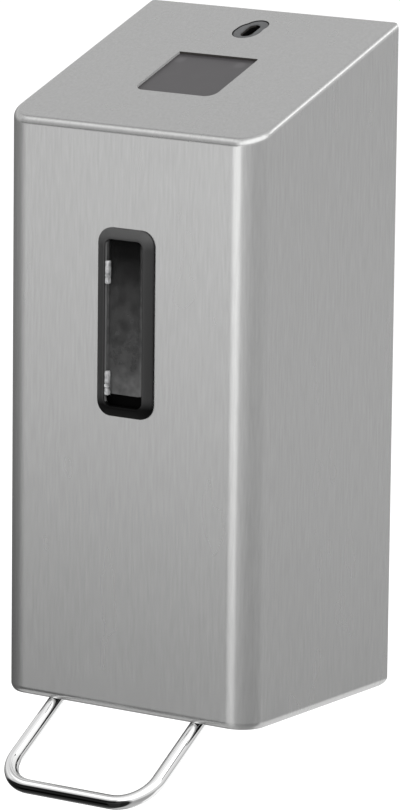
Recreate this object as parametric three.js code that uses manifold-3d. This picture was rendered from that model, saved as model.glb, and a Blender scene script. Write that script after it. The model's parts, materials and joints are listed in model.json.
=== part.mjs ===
// Wall-mounted soap dispenser: a stainless steel cover with a sight window, an inverted bottle
// with a piston pump, and a wire bow that works the pump through a rocker.
// Millimetres, +Z up, +Y towards the wall. The origin is on the wall plate's back face, half way up the plate.
import * as THREE from "three";
import { mergeVertices } from "three/addons/utils/BufferGeometryUtils.js";
import Module from "manifold-3d";

// Fits
const fitGap = 0.3; // between neighbours that touch on the real object
const runGap = 0.3; // between a shaft or pin and its bore
const overrun = 2; // how far a cutter reaches past the face that it cuts

// Cover: heights count from its bottom edge
const coverWidth = 116;
const coverDepth = 98;
const coverFrontHeight = 224;
const coverBackHeight = 259;
const coverSheet = 1;
const coverCornerRadius = 11;
const coverBackCornerRadius = 1.6;
const coverTopRadius = 2.4;
const coverLipRadius = 3.6; // the lower edge curls inwards with it
const coverLipTurn = 50; // degrees
const coverLipFlat = 0.15;
const coverFootRadius = 6;
const backFlangeWidth = 12;
const backFlangeDrop = 9;

// Sight window in the front
const windowTopRoom = 37.9; // from the window's top to the cover's front top edge
const windowWidth = 25.3;
const windowLength = 72;
const windowCorner = 6;
const windowProud = 2.4;
const windowEdgeRadius = 1.5;
const windowBand = 4.2;
const windowInnerCorner = 2.6;
const windowNeckBand = 2.4;
const windowNeckDepth = 4.5;
const paneThickness = 1.4;
const paneSet = 0.5; // the pane's front face, out from the cover's
const paneLap = 1.2;
const sillHeight = 4.3; // the dark strip under the pane
const retainerWall = 2.2;
const retainerLip = 1.2;
const clipWidth = 1.8;
const upperClip = { length: 9, room: 12.85 }; // room from the clip's middle to the opening's end
const lowerClip = { length: 13, room: 10.25 };

// Label recess and lock on the sloping top
const labelWidth = 36.5;
const labelLength = 33;
const labelCorner = 4.5;
const labelTopCorner = 1;
const labelPlaceShare = 0.4565; // of the slope's length, counted from its front edge
const labelLap = 3;
const labelThickness = 1.6;
const lockRoom = { body: 3.2, flange: 3 }; // from the back wall to the body's foot and to the flange
const keyhole = { width: 4.9, length: 10.2 };
const lockFace = { sunk: 0.2, gap: 0.4 };
const lockCircles = [
  { radius: 6, x: -0.4, y: -1.5 },
  { radius: 5.8, x: -0.45, y: 0.4 },
  { radius: 5.05, x: 0.7, y: 3.4 },
];
const lockFlange = { length: 22, corner: 4, thickness: 2 };
const lockBodyRadius = 8.2;
const lockBodyDepth = 14;
const plugRadius = 6.2;
const plugSlot = { width: 4.1, length: 10.6, depth: 5 };
const camHubRadius = 3.4;
const cam = { thickness: 2, hubRadius: 6.4, reach: 22, halfWidth: 4.5 };
const nut = { radius: 3.2, thickness: 2.2 };
const stud = { radius: 1.5, length: 6, room: 1.1, margin: 4.5 }; // margin: out to the lock flange's end

// Wall plate
const plateThickness = 1.5;
const plateStepRoom = 7; // between the plate's step and the cover's back flanges
const plateStepRun = 2;
const plateSideGap = 3;
const plateBottom = 14;
const plateHole = { radius: 3, fromSide: 10, fromFoot: 9, fromTop: 37.7 };

// Bottle, hung neck down
const bottle = { corner: 15, wall: 1.5, shoulder: 12, foot: 5 };
const bottleRoom = { side: 21, front: 18, back: 16, top: 20 }; // inside the cover and the wall
const neck = { radius: 17, wall: 3.5, length: 20.3 };

// Pump bracket
const bracketSheet = 2;
const bracketSideRoom = 2.15; // between the lever's sockets and the bracket's cheeks
const bracketFrontRoom = 14;
const bracketBack = -5;
const shelfTop = 57;
const apron = { drop: 28, inset: 1.5, screwFromSide: 10.5, screwFromFoot: 4, screwFromTop: 9 };
const cheekFoot = 6;
const cheekHalf = 20;

// Screw cap, seal and pump
const cap = { radius: 22, floor: 2.5, height: 19, ribs: 24, ribDepth: 0.7 };
const cylinder = { radius: 10, wall: 1.8, drop: 10, length: 41, flange: 2, roof: 2 };
const seal = { thickness: 1, room: 1.5 };
const inlet = { radius: 5, thickness: 1.6, stemRadius: 1.6, beadRadius: 2.6, stemLength: 4, holeRadius: 2.2 };
const stem = { radius: 5, boreRadius: 2.2, tip: -1, tipRadius: 3.6, taper: 9, reach: 13 };
const pistonSeal = { height: 5, reach: 6 };
const outletValve = { radius: 1.9, length: 6, slit: 0.5 };
const actuator = { radius: 15, thickness: 3, hubRadius: 7, hubHeight: 5 };
const spring = { wireRadius: 0.8, meanRadius: 8.9, pitch: 2.6, endTurns: 0.75, sides: 5, stepsPerTurn: 8 };

// Lever: the bow's arms slope down to the front, and its rocker lifts the piston
const bow = { wireRadius: 2.75, halfSpacing: 32.85, sideShift: -1.5, bend: 14, slope: 32.7, reach: 39.6 };
const bowEdgeGap = 1.03; // the wire's top below the front edge of the cover
const forkRoom = 0.4; // between the actuator's rim and the rocker's barrel
const pivotOffset = 8.2; // from the arms' middle line up to the pivot
const shaft = { radius: 3, overhang: 2.4 };
const rocker = { radius: 6.6, noseRadius: 2.7, tineWidth: 5, tineInner: 5.6 };
const socket = { width: 11, below: 5, above: 6, front: 23, past: 8.5, screwPlace: 5.5 };
const bush = { radius: 4.6, flangeRadius: 6.5, flange: 0.8 };
const shaftClip = { radius: 5.5, thickness: 1, opening: 2 };
const stopBar = { radius: 2.5, sleeveRadius: 4.5, setback: 10, overhang: 2.4, sleeveRoom: 2 };

// Bottle clip and lock catch on the wall plate
const clip = { sheet: 1.2, heightShare: 0.56, height: 16, inset: 8, past: 4, lip: 4, screwInset: 10 };
const lockCatch = { sheet: 2, room: 4.4, width: 14, drop: 18.6, lap: 3, gap: 0.5 };
const catchScrews = { spacing: 7.4, rise: 6 };
const screw = { headRadius: 3.5, head: 2.2, shankRadius: 1.8, slotWidth: 0.9, slotDepth: 0.9 };
const clampScrew = { headRadius: 3.5, head: 2.4, shankRadius: 1.9 };

// Places worked out from the sizes above
const quarterTurn = Math.PI / 2;
const slopeAngle = Math.atan2(coverBackHeight - coverFrontHeight, coverDepth);
const slopeTan = Math.tan(slopeAngle);
const slopeLength = Math.hypot(coverDepth, coverBackHeight - coverFrontHeight);
const windowHeight = coverFrontHeight - windowTopRoom - windowLength / 2;
const labelPlace = slopeLength * labelPlaceShare;
const studX = lockBodyRadius + nut.radius + stud.room;
const lockFlangeHalf = studX + stud.margin;
const underSheet = -coverSheet - fitGap;
const lockFloor = underSheet - lockFlange.thickness;
const lockBodyFoot = underSheet - lockBodyDepth;
const lockSetback = Math.max(
  lockRoom.body / Math.cos(slopeAngle) - lockBodyFoot * slopeTan + lockBodyRadius,
  lockRoom.flange + lockFlange.length / 2,
);
const lockPlace = slopeLength - lockSetback;
const camTop = lockBodyFoot - fitGap;
const camFoot = camTop - cam.thickness;
const coverBack = -fitGap;
const flangeFront = coverBack - coverSheet;
const wingBack = flangeFront - fitGap;
const wingFront = wingBack - plateThickness;
const plateTop = coverBackHeight - backFlangeDrop - fitGap;
const originHeight = (plateBottom + plateTop) / 2;
const backOpeningHalf = coverWidth / 2 - coverSheet - backFlangeWidth;
const plateWingInner = backOpeningHalf - plateStepRoom;
const platePadHalf = plateWingInner - plateStepRun;
const onPlate = -plateThickness - fitGap; // the back face of what is screwed to the plate
const catchInner = lockBodyRadius + lockCatch.room;
const catchOuter = catchInner + lockCatch.width;
const catchUnderside =
  coverFrontHeight +
  lockPlace * Math.sin(slopeAngle) +
  cam.halfWidth * Math.abs(Math.sin(slopeAngle)) +
  camTop * Math.cos(slopeAngle) +
  lockCatch.gap;
const catchReach =
  (lockPlace - cam.halfWidth) * Math.cos(slopeAngle) -
  camTop * Math.sin(slopeAngle) -
  coverDepth -
  lockCatch.lap;
const catchFoot = catchUnderside - lockCatch.drop;
const bowAngle = THREE.MathUtils.degToRad(bow.slope);
const bowFront = -bow.wireRadius / Math.cos(bowAngle) - bowEdgeGap;
const bottleHalfWidth = coverWidth / 2 - bottleRoom.side;
const bottleHalfDepth = (coverDepth - bottleRoom.front - bottleRoom.back) / 2;
const pumpY = -bottleRoom.back - bottleHalfDepth;
const pivotY = pumpY - actuator.radius - forkRoom - rocker.radius;
const pivotZ = bowFront + (pivotY + coverDepth) * Math.tan(bowAngle) + pivotOffset / Math.cos(bowAngle);
const socketsHalf = bow.halfSpacing + Math.abs(bow.sideShift) + socket.width / 2;
const bracketHalf = socketsHalf + bracketSideRoom + bracketSheet;
const bracketFront = bracketFrontRoom - coverDepth;
const apronFoot = shelfTop - apron.drop;
const apronHalf = platePadHalf - apron.inset;
const rockerHalf = bracketHalf - bracketSheet - fitGap - bush.flange - fitGap;
const pivotAlong = (pivotY + coverDepth) / Math.cos(bowAngle) + pivotOffset * Math.tan(bowAngle);
const socketLength = pivotAlong + socket.past - socket.front;
const actuatorFoot = pivotZ + rocker.noseRadius + fitGap;
const capFoot = shelfTop + fitGap;
const cylinderFlangeFoot = capFoot + cap.floor + fitGap;
const sealFoot = cylinderFlangeFoot + cylinder.flange + fitGap;
const cylinderFoot = shelfTop - cylinder.drop;
const cylinderTop = cylinderFoot + cylinder.length;
const stemTop = cylinderFoot + stem.reach;
const pistonSealFoot = cylinderFoot + pistonSeal.reach;
const neckRim = sealFoot + seal.thickness + fitGap;
const bottleBottom = neckRim + neck.length;
const bottleTop = Math.min(coverFrontHeight, catchFoot) - bottleRoom.top;
const clipLow = bottleBottom + (bottleTop - bottleBottom) * clip.heightShare;
const clipBaseHalf = platePadHalf - clip.inset;
const stopBarY = stopBar.setback - coverDepth;

const X = new THREE.Vector3(1, 0, 0);
const Y = new THREE.Vector3(0, 1, 0);
const Z = new THREE.Vector3(0, 0, 1);
const slopeUp = new THREE.Vector3(0, Math.cos(slopeAngle), Math.sin(slopeAngle));
const slopeOut = new THREE.Vector3(0, -Math.sin(slopeAngle), Math.cos(slopeAngle));

const wasm = await Module();
wasm.setup();

// Solids and meshes

function toSolid(geometry) {
  const bare = geometry.clone();
  bare.deleteAttribute("normal");
  bare.deleteAttribute("uv");
  const merged = mergeVertices(bare, 1e-4);
  return new wasm.Manifold(
    new wasm.Mesh({
      numProp: 3,
      vertProperties: merged.attributes.position.array,
      triVerts: new Uint32Array(merged.index.array),
    }),
  );
}

function toGeometry(solid) {
  const mesh = solid.getMesh();
  const geometry = new THREE.BufferGeometry();
  geometry.setAttribute("position", new THREE.BufferAttribute(new Float32Array(mesh.vertProperties), 3));
  geometry.setIndex(new THREE.BufferAttribute(new Uint32Array(mesh.triVerts), 1));
  const flat = geometry.toNonIndexed();
  flat.computeVertexNormals();
  return flat;
}

function joined(first, ...others) {
  return others.reduce((sum, other) => sum.add(other), first);
}

function cutBy(first, ...others) {
  return others.reduce((rest, other) => rest.subtract(other), first);
}

function piece(name, solid, finish) {
  const mesh = new THREE.Mesh(toGeometry(solid), new THREE.MeshStandardMaterial(finish));
  mesh.name = name;
  return mesh;
}

// A closed body through rings of points, all with the same count and turning the same way
function ringGeometry(rings) {
  const count = rings[0].length;
  const points = rings.flat();
  const faces = [];
  for (let r = 0; r + 1 < rings.length; r++)
    for (let i = 0; i < count; i++) {
      const a = r * count + i;
      const b = r * count + ((i + 1) % count);
      faces.push(a, b, b + count, a, b + count, a + count);
    }
  const last = points.length - count;
  for (let i = 1; i + 1 < count; i++) {
    faces.push(0, i + 1, i);
    faces.push(last, last + i, last + i + 1);
  }
  return new THREE.BufferGeometry().setFromPoints(points).setIndex(faces);
}

// Corner points of a rounded rectangle, with one radius for its low side and one for its high side
function outline(x0, x1, y0, y1, lowRadius, highRadius, steps = 5) {
  const corners = [
    [x1 - lowRadius, y0 + lowRadius, lowRadius],
    [x1 - highRadius, y1 - highRadius, highRadius],
    [x0 + highRadius, y1 - highRadius, highRadius],
    [x0 + lowRadius, y0 + lowRadius, lowRadius],
  ];
  return corners.flatMap(([cx, cy, radius], corner) =>
    Array.from({ length: steps + 1 }, (_, i) => {
      const angle = quarterTurn * (corner - 1 + i / steps);
      return new THREE.Vector2(cx + radius * Math.cos(angle), cy + radius * Math.sin(angle));
    }),
  );
}

// A rounded block centred on the Z axis, with an optional rounded upper edge
function pad(width, length, corner, low, high, edge = 0, edgeSteps = 3) {
  const rings = [[0, low]];
  if (edge === 0) rings.push([0, high]);
  for (let i = 0; edge > 0 && i <= edgeSteps; i++) {
    const angle = quarterTurn * (i / edgeSteps);
    rings.push([edge * (1 - Math.cos(angle)), high - edge * (1 - Math.sin(angle))]);
  }
  return toSolid(
    ringGeometry(
      rings.map(([inset, z]) => {
        const radius = Math.max(corner - inset, corner / 4);
        const half = [width / 2 - inset, length / 2 - inset];
        return outline(-half[0], half[0], -half[1], half[1], radius, radius).map(
          (p) => new THREE.Vector3(p.x, p.y, z),
        );
      }),
    ),
  );
}

function box(x0, x1, y0, y1, z0, z1) {
  const geometry = new THREE.BoxGeometry(x1 - x0, y1 - y0, z1 - z0);
  return toSolid(geometry.translate((x0 + x1) / 2, (y0 + y1) / 2, (z0 + z1) / 2));
}

// A cylinder along X, Y or Z between two coordinates on that axis, through a point of the other two
function rod(axis, radius, from, to, at, sides = 20) {
  const geometry = new THREE.CylinderGeometry(radius, radius, to - from, sides);
  if (axis === "x") geometry.rotateZ(-Math.PI / 2);
  if (axis === "z") geometry.rotateX(Math.PI / 2);
  const middle = (from + to) / 2;
  if (axis === "x") geometry.translate(middle, at[0], at[1]);
  if (axis === "y") geometry.translate(at[0], middle, at[1]);
  if (axis === "z") geometry.translate(at[0], at[1], middle);
  return toSolid(geometry);
}

// A body turned about the Z axis: pairs of radius and height, bottom first along the outer side
function turned(profile, sides = 28) {
  const points = profile.map(([radius, height]) => new THREE.Vector2(radius, height));
  return toSolid(new THREE.LatheGeometry(points, sides).rotateX(Math.PI / 2));
}

function tube(outer, inner, low, high, sides = 28) {
  return turned([[inner, low], [outer, low], [outer, high], [inner, high], [inner, low]], sides);
}

// An outline in the plane of Y and Z, given as pairs, pulled along X
function pulledAlongX(points, from, to) {
  const shape = new THREE.Shape(points.map(([y, z]) => new THREE.Vector2(y, z)));
  const geometry = new THREE.ExtrudeGeometry(shape, { depth: to - from, bevelEnabled: false });
  geometry.applyMatrix4(new THREE.Matrix4().makeBasis(Y, Z, X));
  return toSolid(geometry.translate(from, 0, 0));
}

// An outline in the plane of X and Y, given as pairs, pulled up
function pulledUp(points, low, high) {
  const shape = new THREE.Shape(points.map(([x, y]) => new THREE.Vector2(x, y)));
  const geometry = new THREE.ExtrudeGeometry(shape, { depth: high - low, bevelEnabled: false });
  return toSolid(geometry.translate(0, 0, low));
}

// A round wire through points in one plane, given with that plane's normal
function wire(points, normal, radius, sides) {
  const rings = points.map((point, i) => {
    const before = points[Math.max(i - 1, 0)];
    const after = points[Math.min(i + 1, points.length - 1)];
    const along = after.clone().sub(before).normalize();
    const across = new THREE.Vector3().crossVectors(normal, along);
    return Array.from({ length: sides }, (_, k) => {
      const angle = (2 * Math.PI * k) / sides;
      return point
        .clone()
        .addScaledVector(normal, radius * Math.sin(angle))
        .addScaledVector(across, radius * Math.cos(angle));
    });
  });
  return toSolid(ringGeometry(rings));
}

function placed(solid, matrix) {
  return solid.transform(matrix.elements);
}

// Frames: the front face looks along -Y, the slope starts at the cover's front top edge
const onFront = new THREE.Matrix4()
  .makeBasis(X, Z, Y.clone().negate())
  .setPosition(0, -coverDepth, windowHeight);
const onSlope = new THREE.Matrix4()
  .makeBasis(X, slopeUp, slopeOut)
  .setPosition(0, -coverDepth, coverFrontHeight);

const steel = { color: 0xb4b4b2, metalness: 1, roughness: 0.34 };
const bentSteel = { color: 0x9c9fa2, metalness: 1, roughness: 0.45 };
const chrome = { color: 0xe6e8ea, metalness: 1, roughness: 0.06 };
const blackPlastic = { color: 0x2c2c2d, metalness: 0, roughness: 0.5 };
const greyPlastic = { color: 0x8c8d8e, metalness: 0, roughness: 0.5 };
const whitePlastic = { color: 0xe8e8e4, metalness: 0, roughness: 0.45 };
const bottlePlastic = { color: 0xd9dcda, metalness: 0, roughness: 0.4, transparent: true, opacity: 0.75 };
const clearPlastic = { color: 0x9aa0a2, metalness: 0, roughness: 0.1, transparent: true, opacity: 0.4 };
const labelPlastic = { color: 0x646264, metalness: 0, roughness: 0.35 };
const rubber = { color: 0x262626, metalness: 0, roughness: 0.8 };
const silicone = { color: 0xc9cfd0, metalness: 0, roughness: 0.6 };
const brass = { color: 0xb08d4a, metalness: 1, roughness: 0.35 };

// Cover

// Height of the sloping top over a place in the plan
function slopeHeight(y) {
  return coverFrontHeight + (y + coverDepth) * slopeTan;
}

// The cover's outline in the plan, drawn in by an inset
function coverOutline(inset, back) {
  const half = coverWidth / 2 - inset;
  const frontRadius = coverCornerRadius - inset;
  const backRadius = Math.max(coverBackCornerRadius - inset, coverBackCornerRadius / 4);
  return outline(-half, half, inset - coverDepth, back, frontRadius, backRadius, 6);
}

// A block with that outline: pairs of inset and height shape its foot, and a rounded edge ends its sloping top
function coverBlock(inset, back, edge, sink, foot) {
  const rings = foot.map(([extra, z]) =>
    coverOutline(inset + extra, back).map((p) => new THREE.Vector3(p.x, p.y, z)),
  );
  const steps = 4;
  for (let i = 0; i <= steps; i++) {
    const angle = quarterTurn * (i / steps);
    const drop = sink + edge * (1 - Math.sin(angle));
    const ring = coverOutline(inset + edge * (1 - Math.cos(angle)), back);
    rings.push(ring.map((p) => new THREE.Vector3(p.x, p.y, slopeHeight(p.y) - drop)));
  }
  return toSolid(ringGeometry(rings));
}

function windowHole() {
  const band = windowBand - windowNeckBand - fitGap;
  return placed(
    pad(windowWidth - 2 * band, windowLength - 2 * band, windowCorner - band, -coverSheet - overrun, overrun),
    onFront,
  );
}

function lockOutline(grow, low, high) {
  return joined(
    ...lockCircles.map(({ radius, x, y }) => rod("z", radius + grow, low, high, [x, lockPlace + y], 24)),
  );
}

// The label's outline, grown by a lap: its upper corners are tighter than its lower ones
function labelBlock(grow, low, high) {
  const half = [labelWidth / 2 + grow, labelLength / 2 + grow];
  const points = outline(
    -half[0],
    half[0],
    labelPlace - half[1],
    labelPlace + half[1],
    labelCorner + grow,
    labelTopCorner + grow,
  );
  return toSolid(ringGeometry([low, high].map((z) => points.map((p) => new THREE.Vector3(p.x, p.y, z)))));
}

function coverShell() {
  const lipSteps = 4;
  const lipTurn = THREE.MathUtils.degToRad(coverLipTurn);
  const lipArc = (radius) =>
    Array.from({ length: lipSteps + 1 }, (_, i) => {
      const tilt = lipTurn * (1 - i / lipSteps);
      return [radius * (1 - Math.cos(tilt)), coverLipRadius * Math.sin(lipTurn) - radius * Math.sin(tilt)];
    });
  const lip = lipArc(coverLipRadius);
  const outside = coverBlock(0, coverBack, coverTopRadius, 0, lip);
  const lipEnd = lip[0][0] + coverLipFlat - coverSheet;
  const inside = coverBlock(
    coverSheet,
    flangeFront,
    coverTopRadius - coverSheet,
    coverSheet / Math.cos(slopeAngle),
    [[lipEnd, -overrun], [lipEnd, 0], ...lipArc(coverLipRadius - coverSheet)],
  );
  const backOpening = box(
    -backOpeningHalf,
    backOpeningHalf,
    flangeFront - overrun,
    overrun,
    -overrun,
    coverBackHeight - backFlangeDrop,
  );
  const foot = coverFootRadius;
  const footSteps = 6;
  const footArc = Array.from({ length: footSteps + 1 }, (_, i) => {
    const angle = quarterTurn * (i / footSteps);
    return [coverBack - foot + foot * Math.sin(angle), foot - foot * Math.cos(angle)];
  });
  const footCut = pulledAlongX(
    [[coverBack - foot, -overrun], [overrun, -overrun], [overrun, foot], ...footArc.reverse()],
    -coverWidth,
    coverWidth,
  );
  const labelHole = labelBlock(0, -coverSheet - overrun, overrun);
  const studs = [-1, 1].map((side) =>
    placed(
      rod("z", stud.radius, -coverSheet - stud.length, -coverSheet / 2, [side * studX, lockPlace], 12),
      onSlope,
    ),
  );
  const shell = cutBy(
    outside,
    inside,
    backOpening,
    footCut,
    windowHole(),
    placed(labelHole, onSlope),
    placed(lockOutline(0, -coverSheet - overrun, overrun), onSlope),
  );
  return joined(shell, ...studs);
}

// Window: lengths along local Z count outwards from the cover's face

const innerWidth = windowWidth - 2 * windowBand;
const innerLength = windowLength - 2 * windowBand;
const neckWidth = innerWidth + 2 * windowNeckBand;
const neckLength = innerLength + 2 * windowNeckBand;
const neckCorner = windowInnerCorner + windowNeckBand;
const rebate = paneLap + fitGap;
const paneBack = paneSet - paneThickness;
const retainerFront = -coverSheet - fitGap;
const retainerFloor = -windowNeckDepth - fitGap;
const retainerBack = retainerFloor - retainerLip;
const clipBead = 0.9; // a clip's end beads

function upTheWindow(distance) {
  return new THREE.Matrix4().makeTranslation(0, distance, 0);
}

function windowFrame() {
  const flange = pad(
    windowWidth,
    windowLength,
    windowCorner,
    fitGap,
    windowProud,
    windowEdgeRadius,
  );
  const neckPart = pad(neckWidth, neckLength, neckCorner, -windowNeckDepth, fitGap + windowEdgeRadius / 2);
  const low = -windowNeckDepth - overrun;
  const opening = pad(innerWidth, innerLength, windowInnerCorner, low, windowProud + overrun);
  const paneRoom = pad(
    innerWidth + 2 * rebate,
    innerLength + 2 * rebate,
    windowInnerCorner + rebate,
    low,
    paneSet + fitGap,
  );
  return cutBy(joined(flange, neckPart), opening, paneRoom);
}

function windowPane() {
  const pane = pad(
    innerWidth + 2 * paneLap,
    innerLength + paneLap - sillHeight,
    windowInnerCorner + paneLap,
    paneBack,
    paneSet,
  );
  return placed(pane, upTheWindow((paneLap + sillHeight) / 2));
}

function windowRetainer() {
  const width = neckWidth + 2 * fitGap;
  const length = neckLength + 2 * fitGap;
  const corner = neckCorner + fitGap;
  const body = pad(
    width + 2 * retainerWall,
    length + 2 * retainerWall,
    corner + retainerWall,
    retainerBack,
    retainerFront,
  );
  const hollow = pad(width, length, corner, retainerFloor, retainerFront + overrun);
  const collar = pad(
    innerWidth + 2 * paneLap,
    innerLength + 2 * paneLap,
    windowInnerCorner + paneLap,
    retainerBack,
    paneBack - fitGap,
  );
  const sill = sillHeight + paneLap;
  const sight = placed(
    pad(innerWidth, innerLength - sill, windowInnerCorner, retainerBack - overrun, paneBack),
    upTheWindow(sill / 2),
  );
  return cutBy(joined(cutBy(body, hollow), collar), sight);
}

// A clear catch in front of the pane, on the opening's left side wall, with a bead at each end
function windowClip(height, length) {
  const wall = fitGap - innerWidth / 2;
  const low = paneSet + fitGap;
  const strip = box(
    wall,
    wall + clipWidth,
    height - length / 2,
    height + length / 2,
    low,
    windowProud,
  );
  const beads = [-1, 1].map((end) =>
    rod(
      "z",
      clipBead,
      low,
      windowProud + clipBead / 2,
      [wall + clipBead, height + end * (length / 2 - clipBead)],
      10,
    ),
  );
  return joined(strip, ...beads);
}

function makeWindow() {
  const group = new THREE.Group();
  onFront.decompose(group.position, group.quaternion, group.scale);
  group.add(
    piece("window_frame", windowFrame(), blackPlastic),
    piece("window_pane", windowPane(), clearPlastic),
    piece("window_retainer", windowRetainer(), blackPlastic),
    piece(
      "window_clip_upper",
      windowClip(innerLength / 2 - upperClip.room, upperClip.length),
      clearPlastic,
    ),
    piece(
      "window_clip_lower",
      windowClip(lowerClip.room - innerLength / 2, lowerClip.length),
      clearPlastic,
    ),
  );
  return group;
}

// Label and lock: local Y runs up the slope, local Z out of it

function labelPlate() {
  return labelBlock(labelLap, underSheet - labelThickness, underSheet);
}

function keyholeCut(low, high) {
  const offset = (keyhole.length - keyhole.width) / 2;
  const radius = keyhole.width / 2;
  return joined(
    box(-radius, radius, lockPlace - offset, lockPlace + offset, low, high),
    rod("z", radius, low, high, [0, lockPlace - offset], 16),
    rod("z", radius, low, high, [0, lockPlace + offset], 16),
  );
}

function lockHousing() {
  const { length, corner } = lockFlange;
  const flange = pad(2 * lockFlangeHalf, length, corner, lockFloor, underSheet).translate([0, lockPlace, 0]);
  const face = lockOutline(-lockFace.gap, lockFloor, -lockFace.sunk);
  const body = rod("z", lockBodyRadius, lockBodyFoot, underSheet, [0, lockPlace], 28);
  const bore = rod("z", plugRadius + runGap, lockBodyFoot - overrun, lockFloor, [0, lockPlace], 28);
  const studHoles = [-1, 1].map((side) =>
    rod("z", stud.radius + runGap, lockFloor - overrun, overrun, [side * studX, lockPlace], 12),
  );
  const keyCut = keyholeCut(lockFloor - overrun, overrun);
  return cutBy(joined(flange, face, body), bore, keyCut, ...studHoles);
}

function lockNut(side) {
  const top = lockFloor - fitGap;
  const at = [side * studX, lockPlace];
  return cutBy(
    rod("z", nut.radius, top - nut.thickness, top, at, 6),
    rod("z", stud.radius + runGap, top - nut.thickness - overrun, top + overrun, at, 12),
  );
}

function lockPlug() {
  const top = lockFloor - fitGap;
  const body = rod("z", plugRadius, lockBodyFoot, top, [0, 0], 28);
  const hub = rod("z", camHubRadius, camFoot, lockBodyFoot + fitGap, [0, 0], 16);
  const slot = box(
    -plugSlot.width / 2,
    plugSlot.width / 2,
    -plugSlot.length / 2,
    plugSlot.length / 2,
    top - plugSlot.depth,
    top + overrun,
  );
  return cutBy(joined(body, hub), slot);
}

function lockCam() {
  const arm = box(-cam.halfWidth, cam.halfWidth, cam.halfWidth - cam.reach, 0, camFoot, camTop);
  const end = rod("z", cam.halfWidth, camFoot, camTop, [0, cam.halfWidth - cam.reach], 16);
  const hub = rod("z", cam.hubRadius, camFoot, camTop, [0, 0], 24);
  const hole = rod("z", camHubRadius + fitGap, camFoot - overrun, camTop + overrun, [0, 0], 16);
  return cutBy(joined(arm, end, hub), hole);
}

// A slotted screw: its head's underside lies at local Z 0 and its shank runs down
function slottedScrew(size, shankLength) {
  const head = turned(
    [
      [0, 0],
      [size.headRadius, 0],
      [size.headRadius, size.head / 2],
      [size.headRadius - size.head / 3, size.head],
      [0, size.head],
    ],
    16,
  );
  const shank = rod("z", size.shankRadius, -shankLength, size.head / 2, [0, 0], 12);
  const slot = box(
    -size.headRadius - overrun,
    size.headRadius + overrun,
    -screw.slotWidth / 2,
    screw.slotWidth / 2,
    size.head - screw.slotDepth,
    size.head + overrun,
  );
  return cutBy(joined(head, shank), slot);
}

function makeSlopeParts() {
  const group = new THREE.Group();
  onSlope.decompose(group.position, group.quaternion, group.scale);
  group.add(
    piece("label_plate", labelPlate(), labelPlastic),
    piece("lock_housing", lockHousing(), greyPlastic),
    piece("lock_nut_left", lockNut(-1), bentSteel),
    piece("lock_nut_right", lockNut(1), bentSteel),
  );
  const turning = new THREE.Group();
  turning.position.y = lockPlace;
  const camScrew = slottedScrew(screw, 0).rotate([180, 0, 0]).translate([0, 0, camFoot - fitGap]);
  turning.add(
    piece("lock_plug", lockPlug(), brass),
    piece("lock_cam", lockCam(), bentSteel),
    piece("cam_screw", camScrew, bentSteel),
  );
  group.add(turning);
  return group;
}

// Wall unit

const apronScrewHeights = [apronFoot + apron.screwFromFoot, shelfTop - apron.screwFromTop];
const screwPlaces = {
  bracket: [-1, 1].flatMap((side) =>
    apronScrewHeights.map((height) => [side * (apronHalf - apron.screwFromSide), height]),
  ),
  clip: [-1, 1].map((side) => [side * (clipBaseHalf - clip.screwInset), clipLow + clip.height / 2]),
  catch: [-1, 1].map((side) => [
    (catchInner + catchOuter + side * catchScrews.spacing) / 2,
    catchFoot + catchScrews.rise,
  ]),
};

function wallPlate() {
  const half = coverWidth / 2 - coverSheet - plateSideGap;
  const right = [
    [platePadHalf, 0],
    [plateWingInner, wingBack],
    [half, wingBack],
    [half, wingFront],
    [plateWingInner - plateThickness / 2, wingFront],
    [platePadHalf - plateThickness / 2, -plateThickness],
  ];
  const left = right.map(([x, y]) => [-x, y]).reverse();
  const plate = pulledUp([...left, ...right], plateBottom, plateTop);
  const wallHoles = [-1, 1].flatMap((side) =>
    [plateBottom + plateHole.fromFoot, plateTop - plateHole.fromTop].map((height) => {
      const at = [side * (platePadHalf - plateHole.fromSide), height];
      return rod("y", plateHole.radius, -plateThickness - overrun, overrun, at, 16);
    }),
  );
  const screwHoles = Object.values(screwPlaces)
    .flat()
    .map((at) => rod("y", screw.shankRadius + runGap, -plateThickness - overrun, overrun, at, 12));
  return cutBy(plate, ...wallHoles, ...screwHoles);
}

// A screw through a sheet that lies on the wall plate
function plateScrew(at, sheet) {
  const face = onPlate - sheet - fitGap;
  return slottedScrew(screw, -face - fitGap)
    .rotate([90, 0, 0])
    .translate([at[0], face, at[1]]);
}

function screwHoleThrough(at, sheet) {
  return rod("y", screw.shankRadius + runGap, onPlate - sheet - overrun, onPlate + overrun, at, 12);
}

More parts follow.
